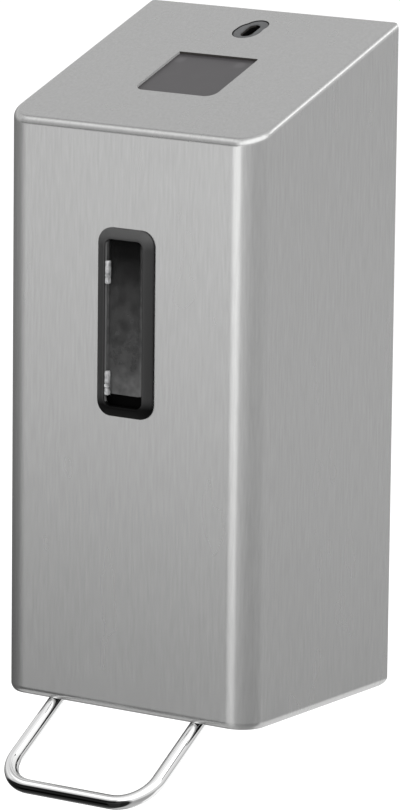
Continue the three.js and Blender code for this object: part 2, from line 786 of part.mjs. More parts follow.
function pumpBracket() {
  const shelfFoot = shelfTop - bracketSheet;
  const shelf = box(-bracketHalf, bracketHalf, bracketFront, bracketBack, shelfFoot, shelfTop);
  const tongue = box(-apronHalf, apronHalf, bracketBack - overrun, onPlate, shelfFoot, shelfTop);
  const drop = box(-apronHalf, apronHalf, onPlate - bracketSheet, onPlate, apronFoot, shelfTop);
  const cheekOutline = [
    [bracketBack, shelfTop],
    [bracketBack, shelfFoot - bracketSheet * 3],
    [pivotY + cheekHalf, cheekFoot + cheekHalf],
    [pivotY + cheekHalf / 2, cheekFoot],
    [stopBarY - bush.flangeRadius, cheekFoot],
    [stopBarY - bush.flangeRadius, pivotZ + cheekHalf / 2],
    [bracketFront, shelfFoot - bracketSheet],
    [bracketFront, shelfTop],
  ];
  const cheeks = [-1, 1].map((side) =>
    pulledAlongX(
      cheekOutline,
      Math.min(side * bracketHalf, side * (bracketHalf - bracketSheet)),
      Math.max(side * bracketHalf, side * (bracketHalf - bracketSheet)),
    ),
  );
  const slotHalf = cylinder.radius + fitGap;
  const neckSlot = joined(
    box(-slotHalf, slotHalf, bracketFront - overrun, pumpY, shelfFoot - overrun, shelfTop + overrun),
    rod("z", slotHalf, shelfFoot - overrun, shelfTop + overrun, [0, pumpY], 24),
  );
  const across = bracketHalf + overrun;
  return cutBy(
    joined(shelf, tongue, drop, ...cheeks),
    neckSlot,
    rod("x", bush.radius + fitGap, -across, across, [pivotY, pivotZ], 24),
    rod("x", stopBar.radius + runGap, -across, across, [stopBarY, stopBarZ], 16),
    ...screwPlaces.bracket.map((at) => screwHoleThrough(at, bracketSheet)),
  );
}

function bottleClip() {
  const inside = bottleHalfWidth + fitGap;
  const outside = inside + clip.sheet;
  const end = pumpY - clip.past;
  const bottleBack = pumpY + bottleHalfDepth;
  const right = [
    [clipBaseHalf, onPlate],
    [outside, bottleBack],
    [outside, end],
    [outside + clip.lip, end - clip.lip],
    [outside + clip.lip - clip.sheet, end - clip.lip - clip.sheet / 2],
    [inside, end - clip.sheet / 2],
    [inside, bottleBack],
    [clipBaseHalf - clip.sheet / 2, onPlate - clip.sheet],
  ];
  const left = right.map(([x, y]) => [-x, y]).reverse();
  const band = pulledUp([...left, ...right], clipLow, clipLow + clip.height);
  return cutBy(band, ...screwPlaces.clip.map((at) => screwHoleThrough(at, clip.sheet)));
}

function catchPlate() {
  const top = catchUnderside + lockCatch.sheet;
  const base = box(catchInner, catchOuter, onPlate - lockCatch.sheet, onPlate, catchFoot, top);
  const arm = box(catchInner, catchOuter, catchReach, onPlate, catchUnderside, top);
  return cutBy(joined(base, arm), ...screwPlaces.catch.map((at) => screwHoleThrough(at, lockCatch.sheet)));
}

// Bottle and pump, about the pump's axis

function bottleBlock(inset, low, high, foot) {
  const rings = [];
  const steps = 5;
  const start = { half: neck.radius + fitGap - inset, corner: neck.radius - inset };
  for (let i = 0; i <= steps; i++) {
    const angle = quarterTurn * (i / steps);
    const share = Math.sin(angle);
    rings.push({
      x: start.half + (bottleHalfWidth - inset - start.half) * share,
      y: start.half + (bottleHalfDepth - inset - start.half) * share,
      corner: start.corner + (bottle.corner - inset - start.corner) * share,
      z: low + bottle.shoulder * (1 - Math.cos(angle)),
    });
  }
  for (let i = 0; i <= steps; i++) {
    const angle = quarterTurn * (i / steps);
    const shrink = foot * (1 - Math.cos(angle));
    rings.push({
      x: bottleHalfWidth - inset - shrink,
      y: bottleHalfDepth - inset - shrink,
      corner: bottle.corner - inset - shrink,
      z: high - foot * (1 - Math.sin(angle)),
    });
  }
  return toSolid(
    ringGeometry(
      rings.map((ring) =>
        outline(-ring.x, ring.x, -ring.y, ring.y, ring.corner, ring.corner).map(
          (p) => new THREE.Vector3(p.x, p.y, ring.z),
        ),
      ),
    ),
  );
}

function makeBottle() {
  const { wall, foot } = bottle;
  const outside = joined(
    bottleBlock(0, bottleBottom, bottleTop, foot),
    rod("z", neck.radius, neckRim, bottleBottom + overrun, [0, 0], 28),
  );
  const inside = joined(
    bottleBlock(wall, bottleBottom + wall, bottleTop - wall, foot - wall),
    rod("z", neck.radius - neck.wall, neckRim - overrun, bottleBottom + wall + overrun, [0, 0], 28),
  );
  return cutBy(outside, inside);
}

function bottleCap() {
  const top = capFoot + cap.height;
  const body = tube(cap.radius, cylinder.radius + fitGap, capFoot, top, 48);
  const hollow = rod("z", neck.radius + fitGap, capFoot + cap.floor, top + overrun, [0, 0], 28);
  const grooves = Array.from({ length: cap.ribs }, (_, i) => {
    const angle = (2 * Math.PI * i) / cap.ribs;
    const at = [cap.radius * Math.cos(angle), cap.radius * Math.sin(angle)];
    return rod("z", cap.ribDepth, capFoot + cap.floor, top + overrun, at, 6);
  });
  return cutBy(body, hollow, ...grooves);
}

function neckSeal() {
  return tube(neck.radius - fitGap, cylinder.radius + seal.room, sealFoot, sealFoot + seal.thickness);
}

function pumpCylinder() {
  const bore = cylinder.radius - cylinder.wall;
  const flangeRadius = neck.radius - fitGap;
  return turned([
    [bore, cylinderFoot],
    [cylinder.radius, cylinderFoot],
    [cylinder.radius, cylinderFlangeFoot],
    [flangeRadius, cylinderFlangeFoot],
    [flangeRadius, cylinderFlangeFoot + cylinder.flange],
    [cylinder.radius, cylinderFlangeFoot + cylinder.flange],
    [cylinder.radius, cylinderTop],
    [inlet.holeRadius, cylinderTop],
    [inlet.holeRadius, cylinderTop - cylinder.roof],
    [bore, cylinderTop - cylinder.roof],
    [bore, cylinderFoot],
  ]);
}

function inletValve() {
  const roof = cylinderTop - cylinder.roof;
  return turned(
    [
      [0, roof - fitGap - inlet.thickness],
      [inlet.radius, roof - fitGap - inlet.thickness / 2],
      [inlet.radius, roof - fitGap],
      [inlet.stemRadius, roof - fitGap],
      [inlet.stemRadius, cylinderTop + fitGap],
      [inlet.beadRadius, cylinderTop + fitGap],
      [0, roof + inlet.stemLength],
    ],
    16,
  );
}

function pumpStem() {
  return turned(
    [
      [stem.boreRadius, stem.tip],
      [stem.tipRadius, stem.tip],
      [stem.radius, stem.tip + stem.taper],
      [stem.radius, stemTop],
      [stem.boreRadius, stemTop],
      [stem.boreRadius, stem.tip],
    ],
    20,
  );
}

function sealRing() {
  const outer = cylinder.radius - cylinder.wall - runGap;
  const inner = stem.radius + fitGap;
  const waist = (outer + inner) / 2;
  const lipped = [outer, outer, waist, waist, outer, outer];
  const low = pistonSealFoot;
  const high = low + pistonSeal.height;
  const side = lipped.map((radius, i) => [radius, low + (pistonSeal.height * i) / (lipped.length - 1)]);
  return turned([[inner, low], ...side, [inner, high], [inner, low]], 24);
}

function outletDuckbill() {
  const foot = stem.tip + stem.taper;
  const body = rod("z", outletValve.radius, foot, foot + outletValve.length, [0, 0], 12);
  const slit = box(
    -outletValve.slit / 2,
    outletValve.slit / 2,
    -outletValve.radius / 2,
    outletValve.radius / 2,
    foot - overrun,
    foot + outletValve.length + overrun,
  );
  return cutBy(body, slit);
}

function actuatorCollar() {
  const bore = stem.radius + fitGap;
  const top = actuatorFoot + actuator.thickness;
  return turned([
    [bore, actuatorFoot],
    [actuator.radius, actuatorFoot],
    [actuator.radius, top],
    [actuator.hubRadius, top],
    [actuator.hubRadius, top + actuator.hubHeight],
    [bore, top + actuator.hubHeight],
    [bore, actuatorFoot],
  ]);
}

// Height of the spring's wire after a number of turns, from 0 at its foot to 1 at its top:
// the wire climbs slowly through the closed turn at each end
function springShare(turn, turns, closedShare) {
  const open = turns - 2 * spring.endTurns;
  const foot = Math.min(turn, spring.endTurns) / spring.endTurns;
  const top = Math.max(turn - turns + spring.endTurns, 0) / spring.endTurns;
  const middle = THREE.MathUtils.clamp(turn - spring.endTurns, 0, open) / open;
  return closedShare * (foot + top) + (1 - 2 * closedShare) * middle;
}

// The least clear distance between places on a wire that lie more than half a turn apart along it
function leastGap(centres, stepsPerTurn, radius) {
  let least = Infinity;
  centres.forEach((centre, i) =>
    centres.slice(i + stepsPerTurn / 2 + 1).forEach((other) => {
      least = Math.min(least, centre.distanceTo(other) - 2 * radius);
    }),
  );
  return least;
}

// The pump's coil spring: one wire through all its turns
function returnSpring() {
  const low = actuatorFoot + actuator.thickness + fitGap + spring.wireRadius;
  const high = cylinderFoot - fitGap - spring.wireRadius;
  const turns = Math.round((high - low) / spring.pitch);
  const closedRise = (2 * spring.wireRadius + 2 * fitGap) * spring.endTurns;
  const centres = Array.from({ length: turns * spring.stepsPerTurn + 1 }, (_, i) => {
    const turn = i / spring.stepsPerTurn;
    const angle = 2 * Math.PI * turn;
    return new THREE.Vector3(
      spring.meanRadius * Math.cos(angle),
      spring.meanRadius * Math.sin(angle),
      low + (high - low) * springShare(turn, turns, closedRise / (high - low)),
    );
  });
  const rings = centres.map((centre) => {
    const out = centre.clone().setZ(0).normalize();
    return Array.from({ length: spring.sides }, (_, k) => {
      const round = (2 * Math.PI * k) / spring.sides;
      return centre
        .clone()
        .addScaledVector(out, spring.wireRadius * Math.cos(round))
        .addScaledVector(Z, -spring.wireRadius * Math.sin(round));
    });
  });
  const gap = leastGap(centres, spring.stepsPerTurn, spring.wireRadius);
  console.log(`return spring: ${turns} turns, least gap ${gap.toFixed(2)} mm`);
  return toSolid(ringGeometry(rings));
}

// Lever

const armMiddle = (y) => bowFront + (y + coverDepth) * Math.tan(bowAngle);
const stopBarZ =
  armMiddle(stopBarY) + (bow.wireRadius + fitGap + stopBar.sleeveRadius) / Math.cos(bowAngle);

// Arm frame: local X is the object's, local Y runs up and back along the arms from the cover's front edge
const alongArm = new THREE.Matrix4()
  .makeBasis(
    X,
    new THREE.Vector3(0, Math.cos(bowAngle), Math.sin(bowAngle)),
    new THREE.Vector3(0, -Math.sin(bowAngle), Math.cos(bowAngle)),
  )
  .setPosition(bow.sideShift, -coverDepth, bowFront);

function bowWire() {
  const steps = 6;
  const end = socket.front + socketLength - fitGap;
  const half = bow.halfSpacing;
  const points = [new THREE.Vector3(-half, end, 0)];
  const bends = [
    [-half + bow.bend, 2],
    [half - bow.bend, 3],
  ];
  for (const [x, quarters] of bends)
    for (let i = 0; i <= steps; i++) {
      const angle = quarterTurn * (quarters + i / steps);
      const along = bow.bend - bow.reach + bow.bend * Math.sin(angle);
      points.push(new THREE.Vector3(x + bow.bend * Math.cos(angle), along, 0));
    }
  points.push(new THREE.Vector3(half, end, 0));
  return wire(points, Z, bow.wireRadius, 12);
}

function leverRocker() {
  const at = [pivotY, pivotZ];
  const barrel = rod("x", rocker.radius, -rockerHalf, rockerHalf, at, 24);
  const bore = rod("x", shaft.radius + runGap, -rockerHalf - overrun, rockerHalf + overrun, at, 20);
  const tines = [-1, 1].flatMap((side) => {
    const near = side * rocker.tineInner;
    const far = side * (rocker.tineInner + rocker.tineWidth);
    const from = Math.min(near, far);
    const to = Math.max(near, far);
    return [
      box(from, to, pivotY, pumpY, pivotZ - rocker.noseRadius, pivotZ + rocker.noseRadius),
      rod("x", rocker.noseRadius, from, to, [pumpY, pivotZ], 16),
    ];
  });
  const sockets = [-1, 1].map((side) => {
    const middle = side * bow.halfSpacing;
    return placed(
      box(
        middle - socket.width / 2,
        middle + socket.width / 2,
        socket.front,
        socket.front + socketLength,
        -socket.below,
        socket.above,
      ),
      alongArm,
    );
  });
  const wireHoles = [-1, 1].map((side) =>
    placed(
      rod(
        "y",
        bow.wireRadius + runGap,
        socket.front - overrun,
        socket.front + socketLength + overrun,
        [side * bow.halfSpacing, 0],
        16,
      ),
      alongArm,
    ),
  );
  const screwHoles = [-1, 1].map((side) =>
    placed(
      rod(
        "z",
        clampScrew.shankRadius + runGap,
        -socket.below - overrun,
        0,
        [side * bow.halfSpacing, socket.front + socket.screwPlace],
        12,
      ),
      alongArm,
    ),
  );
  return cutBy(joined(barrel, ...sockets, ...tines), bore, ...wireHoles, ...screwHoles);
}

function bowScrew(side) {
  const length = socket.below - bow.wireRadius;
  const screwSolid = slottedScrew(clampScrew, length)
    .rotate([180, 0, 0])
    .translate([side * bow.halfSpacing, socket.front + socket.screwPlace, -socket.below - fitGap]);
  return placed(screwSolid, alongArm);
}

function shaftBush(side) {
  const inner = side * (bracketHalf - bracketSheet - fitGap);
  const outer = side * bracketHalf;
  const at = [pivotY, pivotZ];
  const span = [inner, outer].sort((a, b) => a - b);
  const flangeSpan = [inner, inner - side * bush.flange].sort((a, b) => a - b);
  return cutBy(
    joined(
      rod("x", bush.radius, span[0], span[1], at, 20),
      rod("x", bush.flangeRadius, flangeSpan[0], flangeSpan[1], at, 20),
    ),
    rod("x", shaft.radius + runGap, span[0] - overrun, span[1] + overrun, at, 20),
  );
}

function retainingClip(side) {
  const inner = side * (bracketHalf + fitGap);
  const span = [inner, inner + side * shaftClip.thickness].sort((a, b) => a - b);
  const at = [pivotY, pivotZ];
  return cutBy(
    rod("x", shaftClip.radius, span[0], span[1], at, 20),
    rod("x", shaft.radius + fitGap, span[0] - overrun, span[1] + overrun, at, 20),
    box(
      span[0] - overrun,
      span[1] + overrun,
      pivotY - shaftClip.opening,
      pivotY + shaftClip.opening,
      pivotZ,
      pivotZ + shaftClip.radius + overrun,
    ),
  );
}

// A rod across the middle of the dispenser
function crossRod(radius, half, at) {
  return rod("x", radius, -half, half, at);
}

function stopSleeve() {
  const at = [stopBarY, stopBarZ];
  const half = bracketHalf - bracketSheet - stopBar.sleeveRoom;
  const bore = crossRod(stopBar.radius + fitGap, half + overrun, at);
  return cutBy(crossRod(stopBar.sleeveRadius, half, at), bore);
}

// Assembly

function makePump() {
  const group = new THREE.Group();
  group.position.y = pumpY;
  group.add(
    piece("bottle", makeBottle(), bottlePlastic),
    piece("bottle_cap", bottleCap(), whitePlastic),
    piece("neck_seal", neckSeal(), silicone),
    piece("pump_cylinder", pumpCylinder(), whitePlastic),
    piece("inlet_valve", inletValve(), silicone),
    piece("pump_stem", pumpStem(), whitePlastic),
    piece("piston_seal", sealRing(), rubber),
    piece("outlet_valve", outletDuckbill(), silicone),
    piece("actuator_collar", actuatorCollar(), blackPlastic),
    piece("return_spring", returnSpring(), chrome),
  );
  return group;
}

function makeWallUnit() {
  const group = new THREE.Group();
  const shaftHalf = bracketHalf + shaft.overhang;
  const barHalf = bracketHalf + stopBar.overhang;
  group.add(
    piece("wall_plate", wallPlate(), bentSteel),
    piece("pump_bracket", pumpBracket(), bentSteel),
    piece("bottle_clip", bottleClip(), bentSteel),
    piece("lock_catch", catchPlate(), bentSteel),
    piece("lever_shaft", crossRod(shaft.radius, shaftHalf, [pivotY, pivotZ]), bentSteel),
    piece("stop_bar", crossRod(stopBar.radius, barHalf, [stopBarY, stopBarZ]), bentSteel),
    piece("stop_sleeve", stopSleeve(), rubber),
  );
  for (const [sideName, side] of [["left", -1], ["right", 1]])
    group.add(
      piece(`shaft_bush_${sideName}`, shaftBush(side), whitePlastic),
      piece(`shaft_clip_${sideName}`, retainingClip(side), bentSteel),
    );
  const sheets = { bracket: bracketSheet, clip: clip.sheet, catch: lockCatch.sheet };
  for (const [set, places] of Object.entries(screwPlaces))
    places.forEach((at, i) => {
      group.add(piece(`${set}_screw_${i + 1}`, plateScrew(at, sheets[set]), bentSteel));
    });
  return group;
}

function makeLever() {
  const group = new THREE.Group();
  group.add(
    piece("bow", placed(bowWire(), alongArm), chrome),
    piece("lever_rocker", leverRocker(), blackPlastic),
    piece("bow_screw_left", bowScrew(-1), bentSteel),
    piece("bow_screw_right", bowScrew(1), bentSteel),
  );
  return group;
}

function makeCover() {
  const group = new THREE.Group();
  group.add(piece("cover_shell", coverShell(), steel), makeWindow(), makeSlopeParts());
  return group;
}

const dispenser = new THREE.Group();
dispenser.position.z = -originHeight;
dispenser.add(makeWallUnit(), makePump(), makeLever(), makeCover());
console.log(
  `origin ${originHeight} mm above the cover's bottom edge, pivot at ${pivotY}, ${pivotZ - originHeight}`,
);

export default dispenser;
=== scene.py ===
# Wall-mounted soap dispenser: its main pieces in fine shapes, and the finish of every surface.
# Shapes are made in millimetres, with heights counted from the cover's bottom edge.
import math

import bpy
from mathutils import Matrix, Vector
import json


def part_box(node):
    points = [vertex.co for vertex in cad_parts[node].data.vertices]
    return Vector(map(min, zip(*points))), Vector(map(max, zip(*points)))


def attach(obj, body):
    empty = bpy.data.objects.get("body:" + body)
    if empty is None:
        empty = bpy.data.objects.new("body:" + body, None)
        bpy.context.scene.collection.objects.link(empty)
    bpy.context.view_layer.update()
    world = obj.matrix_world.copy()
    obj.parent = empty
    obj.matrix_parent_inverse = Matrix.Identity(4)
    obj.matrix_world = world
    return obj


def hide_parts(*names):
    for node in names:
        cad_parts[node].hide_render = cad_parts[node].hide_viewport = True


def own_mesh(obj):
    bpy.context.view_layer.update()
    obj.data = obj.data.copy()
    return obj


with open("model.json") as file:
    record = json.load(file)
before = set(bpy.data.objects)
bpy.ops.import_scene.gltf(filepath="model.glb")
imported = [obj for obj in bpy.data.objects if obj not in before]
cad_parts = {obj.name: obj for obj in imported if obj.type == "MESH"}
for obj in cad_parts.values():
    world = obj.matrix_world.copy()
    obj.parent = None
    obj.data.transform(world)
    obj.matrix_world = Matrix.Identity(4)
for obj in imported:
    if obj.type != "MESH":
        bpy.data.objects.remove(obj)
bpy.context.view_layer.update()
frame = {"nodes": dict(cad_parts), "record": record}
nodes = frame["nodes"]

MM = 0.001
QUARTER = math.pi / 2
TURN = 2 * math.pi
FIT = 0.3  # between neighbours that touch on the real object
OVERRUN = 2  # how far a cutter reaches past the face that it cuts
FINE_EDGE = 0.12  # rounds a small machined or moulded edge
EDGE_STEPS = 3

# How far a face's normal points along a direction, where 1 is straight along it
SLIGHTLY_FACING = 0.2
FACING = 0.5
WELL_FACING = 0.7
SQUARELY_FACING = 0.9

# Cover
cover_low, cover_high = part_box("cover_shell")
BASE = cover_low.z
WIDTH = (cover_high.x - cover_low.x) / MM
DEPTH = -cover_low.y / MM
BACK_HEIGHT = (cover_high.z - cover_low.z) / MM
FRONT_HEIGHT = 224
SHEET = 1
CORNER = 11
BACK_CORNER = 1.6
TOP_EDGE = 2.4
LIP = 3.6
LIP_TURN = math.radians(50)
LIP_FLAT = 0.15
FOOT = 6
FLANGE_WIDTH = 12
FLANGE_DROP = 9
SLOPE = math.atan2(BACK_HEIGHT - FRONT_HEIGHT, DEPTH)
COVER_BACK = cover_high.y / MM
FLANGE_FRONT = COVER_BACK - SHEET
CORNER_STEPS = 18
SHADING_STRIP = 0.4  # narrow flats beside the rounded edges, which keep the broad faces evenly shaded

# Sight window: places on it count from its middle, and outwards from the cover's face
window_low, window_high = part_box("window_frame")
WINDOW_WIDTH = (window_high.x - window_low.x) / MM
WINDOW_LENGTH = (window_high.z - window_low.z) / MM
WINDOW_HEIGHT = ((window_high.z + window_low.z) / 2 - BASE) / MM
WINDOW_PROUD = -DEPTH - window_low.y / MM
WINDOW_CORNER = 6
WINDOW_BAND = 4.2
WINDOW_INNER_CORNER = 2.6
WINDOW_CORNER_STEPS = 10
WINDOW_STRIP = 0.3  # flats beside its corners
WINDOW_NECK_BAND = 2.4
WINDOW_NECK_DEPTH = 4.5
INNER_WIDTH = WINDOW_WIDTH - 2 * WINDOW_BAND
INNER_LENGTH = WINDOW_LENGTH - 2 * WINDOW_BAND
PANE_FRONT = 0.5
PANE_LAP = 1.2

# Catches: how far their middles lie from the ends of the opening, and their lengths
CLIP = {"width": 1.8, "gap": 0.05, "upper_inset": 12.85, "upper": 9, "lower_inset": 10.25, "lower": 13}

# Label tile and lock: places on them count up the slope from the cover's front edge
LABEL_WIDTH = 36.5
LABEL_LENGTH = 33
LABEL_CORNER = 4.5
LABEL_TOP_CORNER = 1
LABEL_LAP = 3
LABEL_THICKNESS = 1.6
LABEL_GAP = 0.05
LABEL_MARKS = ((-15, 11.7), (12.2, 12))  # from its middle
LABEL_MARK_RADII = (3.2, 1.2)  # where a mark fades out and where it is full
LABEL_MARK_SHARE = 1.35
LABEL_PLACE_SHARE = 0.4565
SLOPE_LENGTH = math.hypot(DEPTH, BACK_HEIGHT - FRONT_HEIGHT)
LABEL_PLACE = SLOPE_LENGTH * LABEL_PLACE_SHARE
LOCK_SUNK = 0.2
LOCK_GAP = 0.4
LOCK_CIRCLES = ((-0.4, -1.5, 6), (-0.45, 0.4, 5.8), (0.7, 3.4, 5.05))  # across, up the slope, radius
LOCK_STEPS = 96
LOCK_EDGE = ((0, 0.25), (0.07, 0.08), (0.25, 0))  # inset and drop of the face's rounded edge
LOCK_FLANGE = {"width": 34, "length": 22, "corner": 4, "thickness": 2}
LOCK_BODY = {"radius": 8.2, "depth": 14, "bore": 6.5}
KEYHOLE = {"width": 4.9, "length": 10.2, "chamfer": 0.35, "lit_depth": 1.2}
STUD = {"radius": 1.5, "length": 6, "x": 12.5, "hole": 1.8, "sides": 24}
UNDER_SHEET = -SHEET - FIT
LOCK_FLOOR = UNDER_SHEET - LOCK_FLANGE["thickness"]
LOCK_FACE_LOW = LOCK_FLOOR + 0.2  # the face starts and the body ends inside the flange
LOCK_BODY_HIGH = UNDER_SHEET - 0.5

# Bow: places on it count along its arms from below the cover's front edge
BOW = {"radius": 2.75, "half": 32.85, "shift": -1.5, "bend": 14, "reach": 39.6, "end": 46.7}
BOW_SLOPE = math.radians(32.7)
BOW_EDGE_GAP = 1.03
BOW_FRONT = -BOW["radius"] / math.cos(BOW_SLOPE) - BOW_EDGE_GAP

# Bottle, cap and pump, about the pump's axis
bottle_low, bottle_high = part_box("bottle")
PUMP_Y = (bottle_low.y + bottle_high.y) / 2 / MM
BOTTLE = {"corner": 15, "wall": 1.5, "shoulder": 12, "foot": 5, "neck": 17, "neck_wall": 3.5}
NECK_ROUNDNESS_SHARE = 0.995
NECK_LENGTH = 20.3
CAP = {"radius": 22, "hollow": 17.3, "bore": 10.3, "floor": 2.5, "edge": 0.8}
RIBS = {"count": 24, "depth": 0.7, "steps": 8}
SPRING = {"wire": 0.8, "mean": 8.9, "turns": 6, "closed_turns": 0.75, "gap": 0.6}


# Places

def in_row(point):
    """A point in millimetres above the cover's bottom edge, in metres in the shared frame."""
    return Vector((point[0] * MM, point[1] * MM, BASE + point[2] * MM))


def slope_height(y):
    return FRONT_HEIGHT + (y + DEPTH) * math.tan(SLOPE)


def frame_matrix(across, up, out, origin):
    """Local X, Y and Z run along across, up and out."""
    return Matrix.Translation(origin) @ Matrix((across, up, out)).transposed().to_4x4()


ACROSS = Vector((1, 0, 0))


def tilted(angle, origin):
    """Local Y rises towards the wall at an angle from level, with local Z square to it."""
    up = Vector((0, math.cos(angle), math.sin(angle)))
    out = Vector((0, -math.sin(angle), math.cos(angle)))
    return frame_matrix(ACROSS, up, out, origin)


ON_FRONT = frame_matrix(ACROSS, Vector((0, 0, 1)), Vector((0, -1, 0)), Vector((0, -DEPTH, WINDOW_HEIGHT)))
ON_SLOPE = tilted(SLOPE, Vector((0, -DEPTH, FRONT_HEIGHT)))
SLOPE_UP = ON_SLOPE.to_3x3().col[1]
SLOPE_OUT = ON_SLOPE.to_3x3().col[2]
ALONG_ARM = tilted(BOW_SLOPE, Vector((BOW["shift"], -DEPTH, BOW_FRONT)))
ON_PUMP = Matrix.Translation((0, PUMP_Y, 0))
PLAIN = Matrix.Identity(4)


def lock_place():
    """How far up the slope the lock's middle lies, from the lock plug's box."""
    low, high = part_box("lock_plug")
    middle = (low + high) / 2
    offset = Vector((0, middle.y / MM + DEPTH, (middle.z - BASE) / MM - FRONT_HEIGHT))
    return offset.dot(SLOPE_UP)


LOCK_PLACE = lock_place()
ON_LABEL = ON_SLOPE @ Matrix.Translation((0, LABEL_PLACE, 0))
ON_LOCK = ON_SLOPE @ Matrix.Translation((0, LOCK_PLACE, 0))


# Outlines, as pairs that turn counter-clockwise

def rounded_rectangle(x0, x1, y0, y1, low_radius, high_radius, steps=12, support=0.0):
    """Corner arcs, with one more point on the straight before and after each arc where support is given."""
    corners = (
        (x1 - low_radius, y0 + low_radius, low_radius),
        (x1 - high_radius, y1 - high_radius, high_radius),
        (x0 + high_radius, y1 - high_radius, high_radius),
        (x0 + low_radius, y0 + low_radius, low_radius),
    )
    points = []
    for corner, (x, y, radius) in enumerate(corners):
        for i in range(steps + 1):
            angle = QUARTER * (corner - 1 + i / steps)
            away = (math.cos(angle), math.sin(angle))
            at = (x + radius * away[0], y + radius * away[1])
            if support and i == 0:
                points.append((at[0] + support * away[1], at[1] - support * away[0]))
            points.append(at)
            if support and i == steps:
                points.append((at[0] - support * away[1], at[1] + support * away[0]))
    return points


def centred_rectangle(width, length, corner, steps=12, support=0.0):
    half = (width / 2, length / 2)
    return rounded_rectangle(-half[0], half[0], -half[1], half[1], corner, corner, steps, support)


def joined_circles(circles, grow, count):
    """The outline of circles that overlap around the origin, seen from there in even steps of angle."""
    points = []
    for i in range(count):
        ray = (math.cos(TURN * i / count), math.sin(TURN * i / count))
        reach = 0
        for x, y, radius in circles:
            along = x * ray[0] + y * ray[1]
            beside = x * ray[1] - y * ray[0]
            reach = max(reach, along + math.sqrt((radius + grow) ** 2 - beside**2))
        points.append((reach * ray[0], reach * ray[1]))
    return points


def long_hole(width, length, steps):
    """A slot with round ends, its long way along Y, with a number of points at each end."""
    radius = width / 2
    points = []
    for side in (1, -1):
        start = 0 if side > 0 else math.pi
        for i in range(steps):
            angle = start + math.pi * i / (steps - 1)
            points.append((radius * math.cos(angle), side * (length / 2 - radius) + radius * math.sin(angle)))
    return points


def circle(radius, sides):
    return [(radius * math.cos(TURN * i / sides), radius * math.sin(TURN * i / sides)) for i in range(sides)]


# Meshes

def loft(rings, closed=False):
    """A body through rings of points: capped at both ends, or closed on itself."""
    count = len(rings[0])
    points = [point for ring in rings for point in ring]
    total = len(points)
    spans = len(rings) if closed else len(rings) - 1
    faces = []
    for r in range(spans):
        for i in range(count):
            a = r * count + i
            b = r * count + (i + 1) % count
            faces.append((a, b, (b + count) % total, (a + count) % total))
    if not closed:
        faces.append(tuple(reversed(range(count))))
        faces.append(tuple(range(total - count, total)))
    return points, faces


def add_object(name, data):
    thing = bpy.data.objects.new(name, data)
    bpy.context.scene.collection.objects.link(thing)
    return thing


def make(name, shape, place=PLAIN):
    points, faces = shape
    mesh = bpy.data.meshes.new(name)
    mesh.from_pydata([in_row(place @ Vector(point)) for point in points], [], faces)
    mesh.validate()
    return add_object(name, mesh)


def combine(body, other, operation="DIFFERENCE"):
    modifier = body.modifiers.new(operation, "BOOLEAN")
    modifier.operation = operation
    modifier.solver = "EXACT"
    modifier.object = other
    graph = bpy.context.evaluated_depsgraph_get()
    mesh = bpy.data.meshes.new_from_object(body.evaluated_get(graph))
    body.modifiers.clear()
    body.data = mesh
    bpy.data.objects.remove(other)
    return body


def smooth(thing, degrees=32):
    thing.data.shade_smooth()
    thing.data.set_sharp_from_angle(angle=math.radians(degrees))
    return thing


def rounded_edges(thing, width, degrees=45):
    """Small rounded edges, as moulding and deburring leave them, between flat faces."""
    bevel = thing.modifiers.new("edges", "BEVEL")
    bevel.width = width * MM
    bevel.segments = 2
    bevel.limit_method = "ANGLE"
    bevel.angle_limit = math.radians(degrees)
    flat_faces = thing.modifiers.new("flat_faces", "WEIGHTED_NORMAL")
    flat_faces.weight = 100
    flat_faces.keep_sharp = True
    return thing


def prism(outline, low, high):
    return loft([[(x, y, z) for x, y in outline] for z in (low, high)])


def pad(width, length, corner, low, high, edge=0.0, steps=12):
    """A rounded block centred on its Z axis, with an optional rounded upper edge."""
    levels = [(0, low)]
    if edge == 0:
        levels.append((0, high))
    else:
        for i in range(EDGE_STEPS + 1):
            angle = QUARTER * i / EDGE_STEPS
            levels.append((edge * (1 - math.cos(angle)), high - edge * (1 - math.sin(angle))))
    rings = []
    for inset, z in levels:
        outline = centred_rectangle(
            width - 2 * inset, length - 2 * inset, max(corner - inset, corner / 4), steps
        )
        rings.append([(x, y, z) for x, y in outline])
    return loft(rings)


def box(x0, x1, y0, y1, z0, z1):
    return prism([(x0, y0), (x1, y0), (x1, y1), (x0, y1)], z0, z1)


def rod(radius, low, high, at=(0, 0), sides=48):
    return prism([(x + at[0], y + at[1]) for x, y in circle(radius, sides)], low, high)


def round_ring(centre, across, up, radius, sides):
    """A ring of points around a centre, in the plane of two unit directions."""
    ring = []
    for k in range(sides):
        angle = TURN * k / sides
        offset = across * math.cos(angle) + up * math.sin(angle)
        ring.append(tuple(centre + offset * radius))
    return ring


def wire(points, normal, radius, sides):
    """A round wire through points in one plane, given with that plane's normal."""
    rings = []
    for i, point in enumerate(points):
        before = points[max(i - 1, 0)]
        after = points[min(i + 1, len(points) - 1)]
        across = (after - before).normalized().cross(normal)
        rings.append(round_ring(point, across, normal, radius, sides))
    return loft(rings)


# Materials

